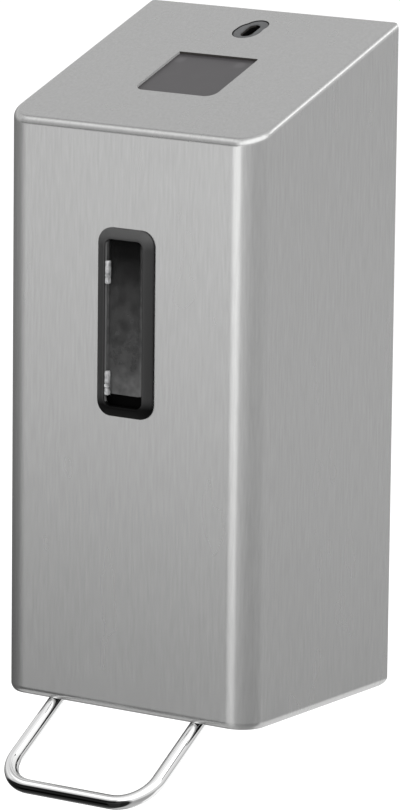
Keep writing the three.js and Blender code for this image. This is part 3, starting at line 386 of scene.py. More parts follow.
class Nodes:
    """A node tree, with short ways to add nodes and to feed their sockets."""

    def __init__(self, tree):
        self.tree = tree

    def feed(self, socket, given):
        """Gives a socket a value of its own, or the output of another node."""
        if isinstance(given, bpy.types.NodeSocket):
            self.tree.links.new(given, socket)
        else:
            socket.default_value = given

    def node(self, kind, inputs=None, **settings):
        """A new node, with what feeds its inputs by their names or numbers."""
        made = self.tree.nodes.new("ShaderNode" + kind)
        for name, value in settings.items():
            setattr(made, name, value)
        for key, given in (inputs or {}).items():
            self.feed(made.inputs[key], given)
        return made

    def calculate(self, operation, *given):
        return self.node("Math", dict(enumerate(given)), operation=operation).outputs["Value"]

    def vector(self, operation, *given, output="Vector"):
        return self.node("VectorMath", dict(enumerate(given)), operation=operation).outputs[output]

    def split(self, vector):
        return self.node("SeparateXYZ", {"Vector": vector}).outputs

    def ranged(self, source, start, end, low=0.0, high=1.0, kind="LINEAR"):
        """Goes from low to high while the source goes from start to end."""
        inputs = {"Value": source, "From Min": start, "From Max": end, "To Min": low, "To Max": high}
        return self.node("MapRange", inputs, interpolation_type=kind).outputs["Result"]


NOISE_SPAN = (0.3, 0.7)  # where most of a noise's values lie
WIDE_NOISE_SPAN = (0.25, 0.75)


class Shader(Nodes):
    """A surface material."""

    def __init__(self, name):
        self.material = bpy.data.materials.new(name)
        self.material.use_nodes = True
        super().__init__(self.material.node_tree)
        self.surface = self.tree.nodes["Principled BSDF"]
        self.coordinates = self.node("TexCoord").outputs
        self.place = self.coordinates["Object"]

    def set(self, **values):
        """Feeds the surface with numbers and colours that are the same all over it, or with outputs."""
        for name, value in values.items():
            socket = name.replace("_", " ").title().replace("Ior", "IOR")
            self.feed(self.surface.inputs[socket], value)

    def noise(self, waves, detail=3.0, stretch=(1, 1, 1), turn=(0, 0, 0)):
        """Noise with a number of waves to the metre, drawn out along an axis by a small stretch value."""
        mapping = self.node("Mapping", {"Vector": self.place, "Rotation": turn, "Scale": stretch})
        inputs = {"Vector": mapping.outputs["Vector"], "Scale": waves, "Detail": detail}
        return self.node("TexNoise", inputs).outputs["Fac"]

    def ramp(self, source, stops):
        """Colours along a source, from pairs of position and colour."""
        made = self.node("ValToRGB", {"Fac": source})
        elements = made.color_ramp.elements
        while len(elements) < len(stops):
            elements.new(0.5)
        for element, (position, colour) in zip(elements, stops):
            element.position = position
            element.color = (*colour, 1)
        return made.outputs["Color"]

    def mixed(self, factor, first, second, blend="MIX"):
        """Mixes the second colour into the first."""
        made = self.node("Mix", {"Factor": factor}, data_type="RGBA", blend_type=blend)
        colours = [socket for socket in made.inputs if socket.type == "RGBA"]
        for socket, given in zip(colours, (first, second)):
            self.feed(socket, given)
        return next(socket for socket in made.outputs if socket.type == "RGBA")

    def colour(self, source, tone, low, high):
        """The tone, from a low to a high share of itself along a source."""
        stops = [(position, shade(tone, share)) for position, share in zip(NOISE_SPAN, (low, high))]
        self.set(base_color=self.ramp(source, stops))

    def roughness(self, source, low, high):
        self.set(roughness=self.ranged(source, *WIDE_NOISE_SPAN, low, high))

    def bump(self, source, depth, strength):
        """Relief of a given depth in millimetres."""
        made = self.node("Bump", {"Height": source, "Distance": depth * MM, "Strength": strength})
        self.set(normal=made.outputs["Normal"])


def shade(colour, share):
    """A share of a colour, which may be more than all of it."""
    return tuple(min(channel * share, 1) for channel in colour)


def grey(level):
    return (level, level, level)


def greys(stops):
    return [(position, grey(level)) for position, level in stops]


def brushed_steel(name, turn=(0, 0, 0)):
    """Stainless sheet with a fine grain that runs along local Z once turned."""
    shader = Shader(name)
    grain = shader.noise(waves=1000, detail=4, stretch=(1, 1, 0.09), turn=turn)
    cloud = shader.noise(waves=60, stretch=(1, 1, 0.35), turn=turn)
    shader.set(metallic=1.0)
    shader.colour(grain, tone=(0.5, 0.501, 0.498), low=0.955, high=1.045)
    shader.roughness(cloud, low=0.25, high=0.28)
    shader.bump(grain, depth=0.003, strength=0.2)
    return shader.material


def bent_steel():
    """Zinc-coated sheet with a faint mottle."""
    shader = Shader("bent_steel")
    shader.set(metallic=1.0)
    shader.colour(shader.noise(waves=180, detail=4), tone=(0.5, 0.51, 0.52), low=0.88, high=1.08)
    shader.roughness(shader.noise(waves=420), low=0.36, high=0.5)
    shader.bump(shader.noise(waves=900), depth=0.01, strength=0.3)
    return shader.material


CHROME_TILT = math.radians(8.5)
# Painted reflection: the wire's grey, set by how squarely it faces to the front, is near black there
CHROME_PAINTED_REFLECTION_TONES = ((0, 0.87), (0.81, 0.87), (0.86, 0.03), (1, 0.02))  # by how squarely it faces to the front


def chrome():
    """Polished wire with a painted reflection: its colour goes near black where it faces to the front,
    standing in for a dark room mirrored there.
    """
    shader = Shader("chrome_wire")
    front = (0, -math.cos(CHROME_TILT), -math.sin(CHROME_TILT))
    facing = shader.vector("DOT_PRODUCT", shader.coordinates["Normal"], front, output="Value")
    shader.set(metallic=1.0, base_color=shader.ramp(facing, greys(CHROME_PAINTED_REFLECTION_TONES)))
    shader.roughness(shader.noise(waves=300, detail=4), low=0.035, high=0.075)
    return shader.material


def spring_steel():
    """Drawn wire."""
    shader = Shader("spring_steel")
    shader.set(metallic=1.0)
    shader.colour(shader.noise(waves=500), tone=(0.6, 0.61, 0.63), low=0.9, high=1.06)
    shader.roughness(shader.noise(waves=900), low=0.2, high=0.32)
    return shader.material


def brass():
    """Turned brass with faint marks along its axis, dulled by use."""
    shader = Shader("lock_brass")
    marks = shader.noise(waves=400, stretch=(1, 1, 0.2))
    shader.set(metallic=1.0)
    shader.colour(marks, tone=(0.16, 0.13, 0.08), low=0.85, high=1.05)
    shader.roughness(shader.noise(waves=700), low=0.28, high=0.42)
    return shader.material


GRAIN = {"waves": 1400, "detail": 2}
GRAIN_STRENGTH = 0.5
ROUGHNESS_SPREAD = (-0.04, 0.05)


def moulded(name, tone, roughness, depth=0.006, variation=0.08, **values):
    """Moulded plastic or rubber with a fine eroded grain."""
    shader = Shader(name)
    shader.set(**values)
    shader.colour(shader.noise(waves=110), tone, 1 - variation, 1 + variation)
    shader.roughness(shader.noise(waves=260), *(roughness + spread for spread in ROUGHNESS_SPREAD))
    shader.bump(shader.noise(**GRAIN), depth, GRAIN_STRENGTH)
    return shader.material


# Shares of the pane's height, from its top down, with the grey there: painted light, near black at the top
# and paler towards the foot
PANE_PAINTED_LIGHT_TONES = ((0, 0.002), (0.12, 0.005), (0.3, 0.03), (0.5, 0.045), (0.75, 0.052), (1, 0.105))
# Paler strips along both sides of the pane: painted highlights
PANE_EDGE_HIGHLIGHT_TONE = (*grey(0.16), 1)
PANE_PAINTED_HIGHLIGHTS = ((1, 2.2, 1.2, 0.35), (-1, 0.9, 0.4, 0.6))  # side, insets where it starts and is full, strength
# Random spots in the pane's grey, as shares of its painted light
PANE_SPOTS = (0.7, 1.3)  # shares of the haze


def pane_plastic():
    """Clear sheet with little gloss. Its grey is painted light: near black at the top, paler towards its foot
    and along both its sides.
    """
    shader = Shader("pane_plastic")
    shader.set(alpha=0.86, roughness=0.1, ior=1.5, specular_ior_level=0.03)
    low, high = (corner.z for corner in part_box("window_pane"))
    axes = shader.split(shader.place)
    # Painted light: the grey rises from the top of the pane to its foot, with paler strips along its sides
    painted_pane_light = shader.ramp(shader.ranged(axes["Z"], high, low), greys(PANE_PAINTED_LIGHT_TONES))
    for side, *insets, strength in PANE_PAINTED_HIGHLIGHTS:
        start, full = (side * (INNER_WIDTH / 2 - inset) * MM for inset in insets)
        edge = shader.ranged(axes["X"], start, full, high=strength)
        painted_pane_light = shader.mixed(edge, painted_pane_light, PANE_EDGE_HIGHLIGHT_TONE)
    spots = shader.ranged(shader.noise(waves=260, detail=4), *NOISE_SPAN, *PANE_SPOTS)
    shader.set(base_color=shader.mixed(1, painted_pane_light, spots, "MULTIPLY"))
    return shader.material


# Shares of the frame's height, from its foot up, with the grey there: painted light and shade, paler above
# and darkest at the foot
FRAME_PAINTED_LIGHT_TONES = ((0.06, 0.002), (0.1, 0.015), (0.9, 0.02), (0.96, 0.05))
FRAME_FOOT = (0.06, 0.12)
FRAME_GLOSS = (0.07, 0.38)


def frame_plastic():
    """Black moulded plastic with painted light and shade: paler above, and dark and less glossy at its foot.
    """
    shader = Shader("frame_plastic")
    low, high = (corner.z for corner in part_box("window_frame"))
    height = shader.ranged(shader.split(shader.place)["Z"], low, high)
    # Painted light and shade: the grey is paler above and darkest at the foot
    shader.set(
        base_color=shader.ramp(height, greys(FRAME_PAINTED_LIGHT_TONES)),
        specular_ior_level=shader.ranged(height, *FRAME_FOOT, *FRAME_GLOSS),
    )
    shader.roughness(shader.noise(waves=260), low=0.3, high=0.38)
    shader.bump(shader.noise(**GRAIN), depth=0.006, strength=GRAIN_STRENGTH)
    return shader.material


def clip_plastic():
    """Clear catches, painted pale grey with bright patches that stand in for glints: painted highlights."""
    shader = Shader("clip_plastic")
    shader.set(alpha=0.85)
    # Painted highlights: bright patches up to more than twice the tone
    shader.colour(shader.noise(waves=420, detail=2), tone=(0.3, 0.302, 0.305), low=0.45, high=2.4)
    shader.roughness(shader.noise(waves=200, detail=2), low=0.08, high=0.16)
    return shader.material


def label_plastic():
    """A smooth dark tile with two faint round marks near its upper corners."""
    shader = Shader("label_plastic")
    tone = (0.066, 0.063, 0.066)
    outer, inner = (radius * MM for radius in LABEL_MARK_RADII)
    marks = []
    for x, y in LABEL_MARKS:
        middle = in_row(ON_LABEL @ Vector((x, y, UNDER_SHEET)))
        distance = shader.vector("DISTANCE", shader.place, middle, output="Value")
        marks.append(shader.ranged(distance, outer, inner, kind="SMOOTHSTEP"))
    mark = shader.calculate("MAXIMUM", *marks)
    shader.set(
        base_color=shader.ramp(mark, ((0, tone), (1, shade(tone, LABEL_MARK_SHARE)))),
        specular_ior_level=0.22,
    )
    shader.roughness(shader.noise(waves=160), low=0.28, high=0.34)
    return shader.material


MOULDED = {
    "black_plastic": {"tone": (0.008, 0.008, 0.0085), "roughness": 0.34},
    # A blacker copy of the black plastic for the window's retainer: painted shade
    "painted_shade_black": {"tone": grey(0.001), "roughness": 0.6, "specular_ior_level": 0.03},
    # A paler copy of the black plastic for the window opening's left inner wall: painted light
    "painted_light_wall": {"tone": grey(0.19), "roughness": 0.4, "specular_ior_level": 0.3},
    "grey_plastic": {"tone": (0.095, 0.097, 0.1), "roughness": 0.45, "specular_ior_level": 0.3},
    "cut_edge": {"tone": (0.55, 0.55, 0.545), "roughness": 0.5, "variation": 0.05},
    # Near black for the keyhole's deeper walls: painted shade
    "painted_shade_hole": {"tone": grey(0.003), "roughness": 0.8, "specular_ior_level": 0.1},
    # Dark grey for the label hole's upper wall and the upper part of the keyhole's left wall: painted shade
    "painted_shade_edge": {"tone": (0.05, 0.046, 0.043), "roughness": 0.7, "specular_ior_level": 0.2},
    "white_plastic": {"tone": (0.78, 0.78, 0.76), "roughness": 0.4, "variation": 0.03},
    "bottle_plastic": {
        "tone": (0.72, 0.75, 0.74), "roughness": 0.35, "depth": 0.004, "variation": 0.03, "alpha": 0.88
    },
    "rubber": {"tone": grey(0.025), "roughness": 0.7, "depth": 0.02},
    "silicone": {"tone": (0.6, 0.64, 0.65), "roughness": 0.5, "variation": 0.04},
}
materials = {name: moulded(name, **values) for name, values in MOULDED.items()}
materials["brushed_stainless"] = brushed_steel("brushed_stainless")
materials["brushed_top"] = brushed_steel("brushed_top", (QUARTER - SLOPE, 0, 0))
materials["bent_steel"] = bent_steel()
materials["chrome_wire"] = chrome()
materials["spring_steel"] = spring_steel()
materials["lock_brass"] = brass()
materials["clear_plastic"] = pane_plastic()
materials["clip_plastic"] = clip_plastic()
materials["frame_plastic"] = frame_plastic()
materials["label_plastic"] = label_plastic()
SLOTS = {row["node"]: row["material_slot"] for row in frame["record"]["subparts"]}


def dress(thing, slot, body, *replaced, material=None):
    """Gives a new piece its finish, its body and the nodes that it stands for."""
    thing.data.materials.clear()
    thing.data.materials.append(materials[material or slot])
    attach(thing, body)
    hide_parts(*replaced)
    return thing


def add_finish(thing, name):
    """Adds a material to a piece and gives its number there."""
    thing.data.materials.append(materials[name])
    return len(thing.data.materials) - 1


# Cover

def cover_outline(inset, back):
    half = WIDTH / 2 - inset
    front_corner = CORNER - inset
    back_corner = max(BACK_CORNER - inset, BACK_CORNER / 4)
    return rounded_rectangle(
        -half, half, inset - DEPTH, back, front_corner, back_corner, CORNER_STEPS, SHADING_STRIP
    )


def level_ring(inset, back, height):
    return [(x, y, height) for x, y in cover_outline(inset, back)]


def sloping_ring(inset, back, drop):
    return [(x, y, slope_height(y) - drop) for x, y in cover_outline(inset, back)]


def top_rings(inset, back, edge, sink, steps):
    """The rounded edge between the walls and the sloping top, with a narrow flat before and after it."""
    rings = [sloping_ring(inset, back, sink + edge + SHADING_STRIP)]
    for i in range(steps + 1):
        angle = QUARTER * i / steps
        inwards = inset + edge * (1 - math.cos(angle))
        rings.append(sloping_ring(inwards, back, sink + edge * (1 - math.sin(angle))))
    rings.append(sloping_ring(inset + edge + SHADING_STRIP, back, sink))
    return rings


def lip_arc(radius, steps):
    """Pairs of inset from the curl's tangent and height, from the cut edge up to where the wall starts."""
    centre = LIP * math.sin(LIP_TURN)
    tilts = [LIP_TURN * (1 - i / steps) for i in range(steps + 1)]
    return [(radius * (1 - math.cos(tilt)), centre - radius * math.sin(tilt)) for tilt in tilts]


def cover_body():
    lip = lip_arc(LIP, steps=10)
    lip.append((0, lip[-1][1] + SHADING_STRIP))
    inner_lip = lip_arc(LIP - SHEET, steps=6)
    outer = [level_ring(inset, COVER_BACK, height) for inset, height in lip]
    outer += top_rings(0, COVER_BACK, TOP_EDGE, 0, steps=12)
    inner = [level_ring(lip[0][0] + LIP_FLAT, FLANGE_FRONT, 0)]
    inner += [level_ring(SHEET + inset, FLANGE_FRONT, height) for inset, height in inner_lip]
    inner += top_rings(SHEET, FLANGE_FRONT, TOP_EDGE - SHEET, SHEET / math.cos(SLOPE), steps=5)
    return make("cover_steel", loft(inner[::-1] + outer))


def foot_cut():
    """What rounds the cover's lower back corners, as a body across the whole width."""
    steps = 10
    centre = (COVER_BACK - FOOT, FOOT)
    outline = [(centre[0], -OVERRUN), (OVERRUN, -OVERRUN), (OVERRUN, FOOT)]
    for i in range(steps + 1):
        angle = -QUARTER * i / steps
        outline.append((centre[0] + FOOT * math.cos(angle), centre[1] + FOOT * math.sin(angle)))
    return loft([[(x, y, z) for y, z in outline] for x in (-WIDTH, WIDTH)])


def lock_outline(grow):
    return joined_circles(LOCK_CIRCLES, grow, LOCK_STEPS)


def label_outline(grow):
    half = (LABEL_WIDTH / 2 + grow, LABEL_LENGTH / 2 + grow)
    corners = (LABEL_CORNER + grow, LABEL_TOP_CORNER + grow)
    return rounded_rectangle(-half[0], half[0], -half[1], half[1], *corners)


def cover_cuts():
    """What the sheet leaves open: shapes and their places."""
    half = WIDTH / 2 - SHEET - FLANGE_WIDTH
    top = BACK_HEIGHT - FLANGE_DROP
    band = WINDOW_BAND - WINDOW_NECK_BAND - FIT
    window = (WINDOW_WIDTH - 2 * band, WINDOW_LENGTH - 2 * band, WINDOW_CORNER - band)
    through = (-SHEET - OVERRUN, OVERRUN)
    return (
        (box(-half, half, FLANGE_FRONT - OVERRUN, OVERRUN, -OVERRUN, top), PLAIN),
        (foot_cut(), PLAIN),
        (pad(*window, *through), ON_FRONT),
        (prism(label_outline(0), *through), ON_LABEL),
        (prism(lock_outline(0), *through), ON_LOCK),
    )


def make_cover():
    cover = cover_body()
    for shape, place in cover_cuts():
        combine(cover, make("cut", shape, place))
    for side in (-1, 1):
        at = (side * STUD["x"], LOCK_PLACE)
        stud = rod(STUD["radius"], -SHEET - STUD["length"], -SHEET / 2, at, STUD["sides"])
        combine(cover, make("stud", stud, ON_SLOPE), "UNION")
    dress(smooth(cover), "brushed_stainless", "cover", "cover_shell")
    top = add_finish(cover, "brushed_top")
    cut_edge = add_finish(cover, "cut_edge")
    painted_shade_edge = add_finish(cover, "painted_shade_edge")
    label_middle = in_row(ON_LABEL @ Vector((0, 0, -SHEET / 2)))
    label_reach = math.hypot(LABEL_WIDTH, LABEL_LENGTH) / 2 * MM
    for face in cover.data.polygons:
        near_label = (face.center - label_middle).length < label_reach
        if face.normal.dot(SLOPE_OUT) > FACING:
            face.material_index = top
        # The label hole's upper wall is painted dark grey: painted shade
        elif near_label and face.normal.y < -WELL_FACING:
            face.material_index = painted_shade_edge
        elif near_label and face.normal.x > FACING:
            face.material_index = cut_edge
    return cover


# Window, catches, label and lock

def window_ring(inset, out):
    """The frame's outline at an inset, with corners that tighten from the outer to the inner radius."""
    share = inset / WINDOW_BAND
    corner = WINDOW_CORNER + (WINDOW_INNER_CORNER - WINDOW_CORNER) * share
    width, length = WINDOW_WIDTH - 2 * inset, WINDOW_LENGTH - 2 * inset
    outline = centred_rectangle(width, length, corner, WINDOW_CORNER_STEPS, WINDOW_STRIP)
    return [(x, y, out) for x, y in outline]


def make_window_frame():
    """A bezel with a broad sloping face, the seat for the pane, and the neck through the cover."""
    neck = WINDOW_BAND - WINDOW_NECK_BAND
    seat = WINDOW_BAND - PANE_LAP - FIT
    proud = WINDOW_PROUD
    profile = [
        (neck, -WINDOW_NECK_DEPTH),
        (neck, FIT),
        (0, FIT),
        (0, FIT + 0.35),
        (0.1, FIT + 0.6),
        (0.35, FIT + 0.85),
        (WINDOW_BAND - 1.15, proud - 0.12),
        (WINDOW_BAND - 0.8, proud),
        (WINDOW_BAND - 0.45, proud - 0.04),
        (WINDOW_BAND - 0.2, proud - 0.2),
        (WINDOW_BAND - 0.05, proud - 0.5),
        (WINDOW_BAND, proud - 0.9),
        (WINDOW_BAND, PANE_FRONT + FIT),
        (seat, PANE_FRONT + FIT),
        (seat, -WINDOW_NECK_DEPTH),
    ]
    rings = [window_ring(inset, out) for inset, out in profile]
    bezel = make("window_bezel", loft(rings, closed=True), ON_FRONT)
    dress(smooth(bezel, degrees=28), "black_plastic", "cover", "window_frame", material="frame_plastic")
    # The window opening's left inner wall gets a paler grey: painted light
    painted_light_wall = add_finish(bezel, "painted_light_wall")
    for face in bezel.data.polygons:
        if face.normal.x > SQUARELY_FACING and face.center.x < 0:
            face.material_index = painted_light_wall
    return bezel


def make_clip(name, middle, parts):
    """A clear catch in front of the pane, on the opening's left wall, from rounded blocks."""
    wall = CLIP["gap"] - INNER_WIDTH / 2
    clip = None
    for reach, bottom, top, front, edge in parts:
        at = Matrix.Translation((wall + reach / 2, middle + (top + bottom) / 2, 0))
        shape = pad(reach, top - bottom, edge, PANE_FRONT + FIT, front, edge, steps=4)
        block = make("clip_part" if clip else name, shape, ON_FRONT @ at)
        clip = combine(clip, block, "UNION") if clip else block
    smooth(clip, degrees=40)
    return dress(clip, "clear_plastic", "cover", name.replace("catch", "clip"), material="clip_plastic")


def make_clips():
    """Two catches, of blocks with a reach from the wall, two ends from the middle, a front and an edge."""
    width, front = CLIP["width"], WINDOW_PROUD
    half = CLIP["upper"] / 2
    strip_with_bead = (
        (width, 2.7 - half, half, front, 0.45),
        (width * 0.95, -half, 2.9 - half, front + 0.2, 0.75),
    )
    make_clip("window_catch_upper", INNER_LENGTH / 2 - CLIP["upper_inset"], strip_with_bead)
    half = CLIP["lower"] / 2
    strip_with_hook = (
        (width * 0.55, half - 2.2, half, front - 0.3, 0.4),
        (width * 1.15, half - 3.7, half - 1.9, front + 0.3, 0.6),
        (width, 4.4 - half, half - 3.6, front - 0.1, 0.5),
        (width * 1.15, 2.9 - half, 4.6 - half, front + 0.3, 0.6),
        (width * 1.05, -half, 3 - half, front + 0.1, 0.7),
    )
    make_clip("window_catch_lower", CLIP["lower_inset"] - INNER_LENGTH / 2, strip_with_hook)


def make_label():
    """A smooth tile under the sheet, which shows through the hole in the slope."""
    tile = prism(label_outline(LABEL_LAP), UNDER_SHEET - LABEL_THICKNESS, -SHEET - LABEL_GAP)
    label = make("label_tile", tile, ON_LABEL)
    rounded_edges(smooth(label), FINE_EDGE)
    return dress(label, "label_plastic", "cover", "label_plate")


def keyhole_outline(grow):
    return long_hole(KEYHOLE["width"] + 2 * grow, KEYHOLE["length"] + 2 * grow, LOCK_STEPS // 2)


def lock_face():
    """The sunk face in an oval outline with a step, down to the flange, with its round-ended keyhole."""
    top = -LOCK_SUNK
    chamfer = KEYHOLE["chamfer"]
    levels = [(lock_outline(-LOCK_GAP), LOCK_FACE_LOW)]
    levels += [(lock_outline(-LOCK_GAP - inset), top - drop) for inset, drop in LOCK_EDGE]
    levels.append((keyhole_outline(chamfer), top))
    for height in (top - chamfer, top - KEYHOLE["lit_depth"], LOCK_FACE_LOW):
        levels.append((keyhole_outline(0), height))
    rings = [[(x, y, z) for x, y in outline] for outline, z in levels]
    return make("lock_body", loft(rings, closed=True), ON_LOCK)


def lock_flange():
    """The flange under the sheet and the body behind it, bored for the plug and drilled for the studs."""
    bottom = UNDER_SHEET - LOCK_BODY["depth"]
    outline = (LOCK_FLANGE["width"], LOCK_FLANGE["length"], LOCK_FLANGE["corner"])
    through = (LOCK_FLOOR - OVERRUN, OVERRUN)
    flange = make("flange", pad(*outline, LOCK_FLOOR, UNDER_SHEET), ON_LOCK)
    combine(flange, make("body", rod(LOCK_BODY["radius"], bottom, LOCK_BODY_HIGH), ON_LOCK), "UNION")
    cuts = [rod(LOCK_BODY["bore"], bottom - OVERRUN, LOCK_FLOOR), prism(keyhole_outline(0), *through)]
    cuts += [rod(STUD["hole"], *through, (side * STUD["x"], 0), STUD["sides"]) for side in (-1, 1)]
    for cut in cuts:
        combine(flange, make("cut", cut, ON_LOCK))
    return flange


def make_lock():
    """The lock's fixed body. Its keyhole's walls are painted shade: near black, but dark grey on the upper
    part of its left wall.
    """
    lock = combine(lock_face(), lock_flange(), "UNION")
    dress(smooth(lock), "grey_plastic", "cover", "lock_housing")
    painted_shade_hole = add_finish(lock, "painted_shade_hole")
    painted_shade_edge = add_finish(lock, "painted_shade_edge")
    middle = in_row(ON_LOCK @ Vector((0, 0, -LOCK_SUNK)))
    for face in lock.data.polygons:
        away = (face.center - middle) / MM
        depth = -away.dot(SLOPE_OUT)
        near = (away + SLOPE_OUT * depth).length < KEYHOLE["length"] / 2 + FIT
        if depth > KEYHOLE["chamfer"] and near and abs(face.normal.dot(SLOPE_OUT)) < FACING:
            # Painted shade: the upper part of the keyhole's left wall dark grey, the rest near black
            lit = face.normal.x > SLIGHTLY_FACING and depth < KEYHOLE["lit_depth"]
            face.material_index = painted_shade_edge if lit else painted_shade_hole
    return lock


# Lever

def make_bow():
    """One bent wire: an arm, a bend, the front bar, a bend and the other arm."""
    steps = 20
    half, bend = BOW["half"], BOW["bend"]
    points = [Vector((-half, BOW["end"], 0)), Vector((-half, 0, 0))]
    for x, quarters in ((-half + bend, 2), (half - bend, 3)):
        for i in range(steps + 1):
            angle = QUARTER * (quarters + i / steps)
            along = bend - BOW["reach"] + bend * math.sin(angle)
            points.append(Vector((x + bend * math.cos(angle), along, 0)))
    points += [Vector((half, 0, 0)), Vector((half, BOW["end"], 0))]
    bow = make("bow_wire", wire(points, Vector((0, 0, 1)), BOW["radius"], sides=40), ALONG_ARM)
    return dress(smooth(bow), "chrome_wire", "lever", "bow")


# Bottle and pump

def bottle_rings(inset, low, high, foot):
    """The bottle's body at an inset from its outside, from the neck's shoulder up to its foot."""
    half = ((bottle_high.x - bottle_low.x) / 2 / MM, (bottle_high.y - bottle_low.y) / 2 / MM)
    steps = 10
    start = BOTTLE["neck"] + FIT - inset
    rings = []
    for i in range(steps + 1):
        angle = QUARTER * i / steps
        share = math.sin(angle)
        x = start + (half[0] - inset - start) * share
        y = start + (half[1] - inset - start) * share
        corner = start - FIT + (BOTTLE["corner"] - inset - start + FIT) * share
        rings.append((x, y, corner, low + BOTTLE["shoulder"] * (1 - math.cos(angle))))
    for i in range(steps + 1):
        angle = QUARTER * i / steps
        shrink = foot * (1 - math.cos(angle))
        x, y, corner = (size - inset - shrink for size in (*half, BOTTLE["corner"]))
        rings.append((x, y, corner, high - foot * (1 - math.sin(angle))))
    return [
        [(px, py, z) for px, py in rounded_rectangle(-x, x, -y, y, corner, corner)]
        for x, y, corner, z in rings
    ]


def neck_rings(radius, low, high):
    outline = centred_rectangle(2 * radius, 2 * radius, radius * NECK_ROUNDNESS_SHARE)
    return [[(x, y, z) for x, y in outline] for z in (low, high)]


def make_bottle():
    wall = BOTTLE["wall"]
    rim = (bottle_low.z - BASE) / MM
    low = rim + NECK_LENGTH
    high = (bottle_high.z - BASE) / MM
    outer = neck_rings(BOTTLE["neck"], rim, low) + bottle_rings(0, low, high, BOTTLE["foot"])
    inner = neck_rings(BOTTLE["neck"] - BOTTLE["neck_wall"], rim, low + wall)
    inner += bottle_rings(wall, low + wall, high - wall, BOTTLE["foot"] - wall)
    bottle = make("bottle_shell", loft(inner[::-1] + outer), ON_PUMP)
    return dress(smooth(bottle), "bottle_plastic", "wall_unit", "bottle")


def ribbed_ring(radius, height, depth):
    """A ring with shallow round grooves, one for each rib."""
    around = RIBS["count"] * RIBS["steps"]
    ring = []
    for i in range(around):
        angle = TURN * i / around
        groove = max(math.cos(RIBS["count"] * angle), 0) ** 2
        size = radius - depth * groove
        ring.append((size * math.cos(angle), size * math.sin(angle), height))
    return ring


def make_cap():
    low, high = ((corner.z - BASE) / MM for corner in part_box("bottle_cap"))
    floor = low + CAP["floor"]
    radius, edge, depth = CAP["radius"], CAP["edge"], RIBS["depth"]
    profile = (
        (radius - edge, low, 0),
        (radius - edge * 0.3, low + edge * 0.3, 0),
        (radius, low + edge, 0),
        (radius, floor, 0),
        (radius, floor + edge, depth),
        (radius, high - edge / 2, depth),
        (radius - edge / 2, high, depth),
        (CAP["hollow"], high, 0),
        (CAP["hollow"], floor, 0),
        (CAP["bore"], floor, 0),
        (CAP["bore"], low, 0),
    )
    rings = [ribbed_ring(*level) for level in profile]
    cap = make("ribbed_cap", loft(rings, closed=True), ON_PUMP)
    return dress(smooth(cap, degrees=40), "white_plastic", "wall_unit", "bottle_cap")


def spring_share(turn, closed_share):
    """Height after a number of turns, from 0 at the foot to 1 at the top, with a closed turn at each end."""
    turns, ends = SPRING["turns"], SPRING["closed_turns"]
    foot = min(turn, ends) / ends
    top = max(turn - turns + ends, 0) / ends
    opened = turns - 2 * ends
    middle = min(max(turn - ends, 0), opened) / opened
    return closed_share * (foot + top) + (1 - 2 * closed_share) * middle


def make_spring():
    low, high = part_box("return_spring")
    foot = (low.z - BASE) / MM + SPRING["wire"]
    head = (high.z - BASE) / MM - SPRING["wire"]
    closed_rise = (2 * SPRING["wire"] + SPRING["gap"]) * SPRING["closed_turns"]
    steps, sides = 40, 12
    down = Vector((0, 0, -1))
    rings = []
    for i in range(SPRING["turns"] * steps + 1):
        turn = i / steps
        out = Vector((math.cos(TURN * turn), math.sin(TURN * turn), 0))
        height = foot + (head - foot) * spring_share(turn, closed_rise / (head - foot))
        centre = out * SPRING["mean"] + Vector((0, 0, height))
        rings.append(round_ring(centre, out, down, SPRING["wire"], sides))
    spring = make("spring_wire", loft(rings), ON_PUMP)
    dress(smooth(spring, degrees=60), "spring_steel", "wall_unit", "return_spring")
    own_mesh(spring)
    return spring


# The other pieces keep their shapes, and get their finish and small rounded edges

FINISHES = {
    # The window's retainer is near black: painted shade
    "window_retainer": "painted_shade_black",
    "window_clip_upper": "clip_plastic",
    "window_clip_lower": "clip_plastic",
}
EDGES = {"bent_steel": 0.18, "black_plastic": 0.35, "white_plastic": 0.25, "rubber": 0.2}
WELD_DISTANCE = 0.001


def finish_other_pieces():
    for name, thing in nodes.items():
        slot = SLOTS[name]
        thing.data.materials.clear()
        thing.data.materials.append(materials[FINISHES.get(name, slot)])
        if thing.hide_render:
            continue
        weld = thing.modifiers.new("weld", "WELD")
        weld.merge_threshold = WELD_DISTANCE * MM
        rounded_edges(smooth(thing), EDGES.get(slot, FINE_EDGE), degrees=40)


# Camera and floor, in metres

CAMERA_PLACE = (1.211507, -1.843772, 0.403491)
CAMERA_YAW, CAMERA_PITCH, CAMERA_ROLL = (math.radians(v) for v in (34.00299, 11.09037, -0.63633))
CAMERA_LENS = 254.577
CAMERA_SENSOR = 36
CAMERA_REACH = 50
FLOOR = {"height": -0.45, "half": 6, "roughness": 0.9, "lift": 0.45}
FLOOR_TONES = (0.86, 0.88)
WHITE = (1, 1, 1, 1)


def make_camera():
    level = Vector((math.cos(CAMERA_YAW), math.sin(CAMERA_YAW), 0))
    forward = Vector(
        (
            -math.sin(CAMERA_YAW) * math.cos(CAMERA_PITCH),
            math.cos(CAMERA_YAW) * math.cos(CAMERA_PITCH),
            -math.sin(CAMERA_PITCH),
        )
    )
    down = forward.cross(level)
    right = level * math.cos(CAMERA_ROLL) + down * math.sin(CAMERA_ROLL)
    down = down * math.cos(CAMERA_ROLL) - level * math.sin(CAMERA_ROLL)
    data = bpy.data.cameras.new("camera")
    data.sensor_width = CAMERA_SENSOR
    data.lens = CAMERA_LENS
    data.clip_end = CAMERA_REACH
    camera = add_object("camera", data)
    camera.matrix_world = frame_matrix(right, -down, -forward, Vector(CAMERA_PLACE))
    bpy.context.scene.camera = camera


def level_sheet(name, corners, height, material):
    mesh = bpy.data.meshes.new(name)
    mesh.from_pydata([(x, y, height) for x, y in corners], [], [tuple(range(len(corners)))])
    mesh.materials.append(material)
    return add_object(name, mesh)


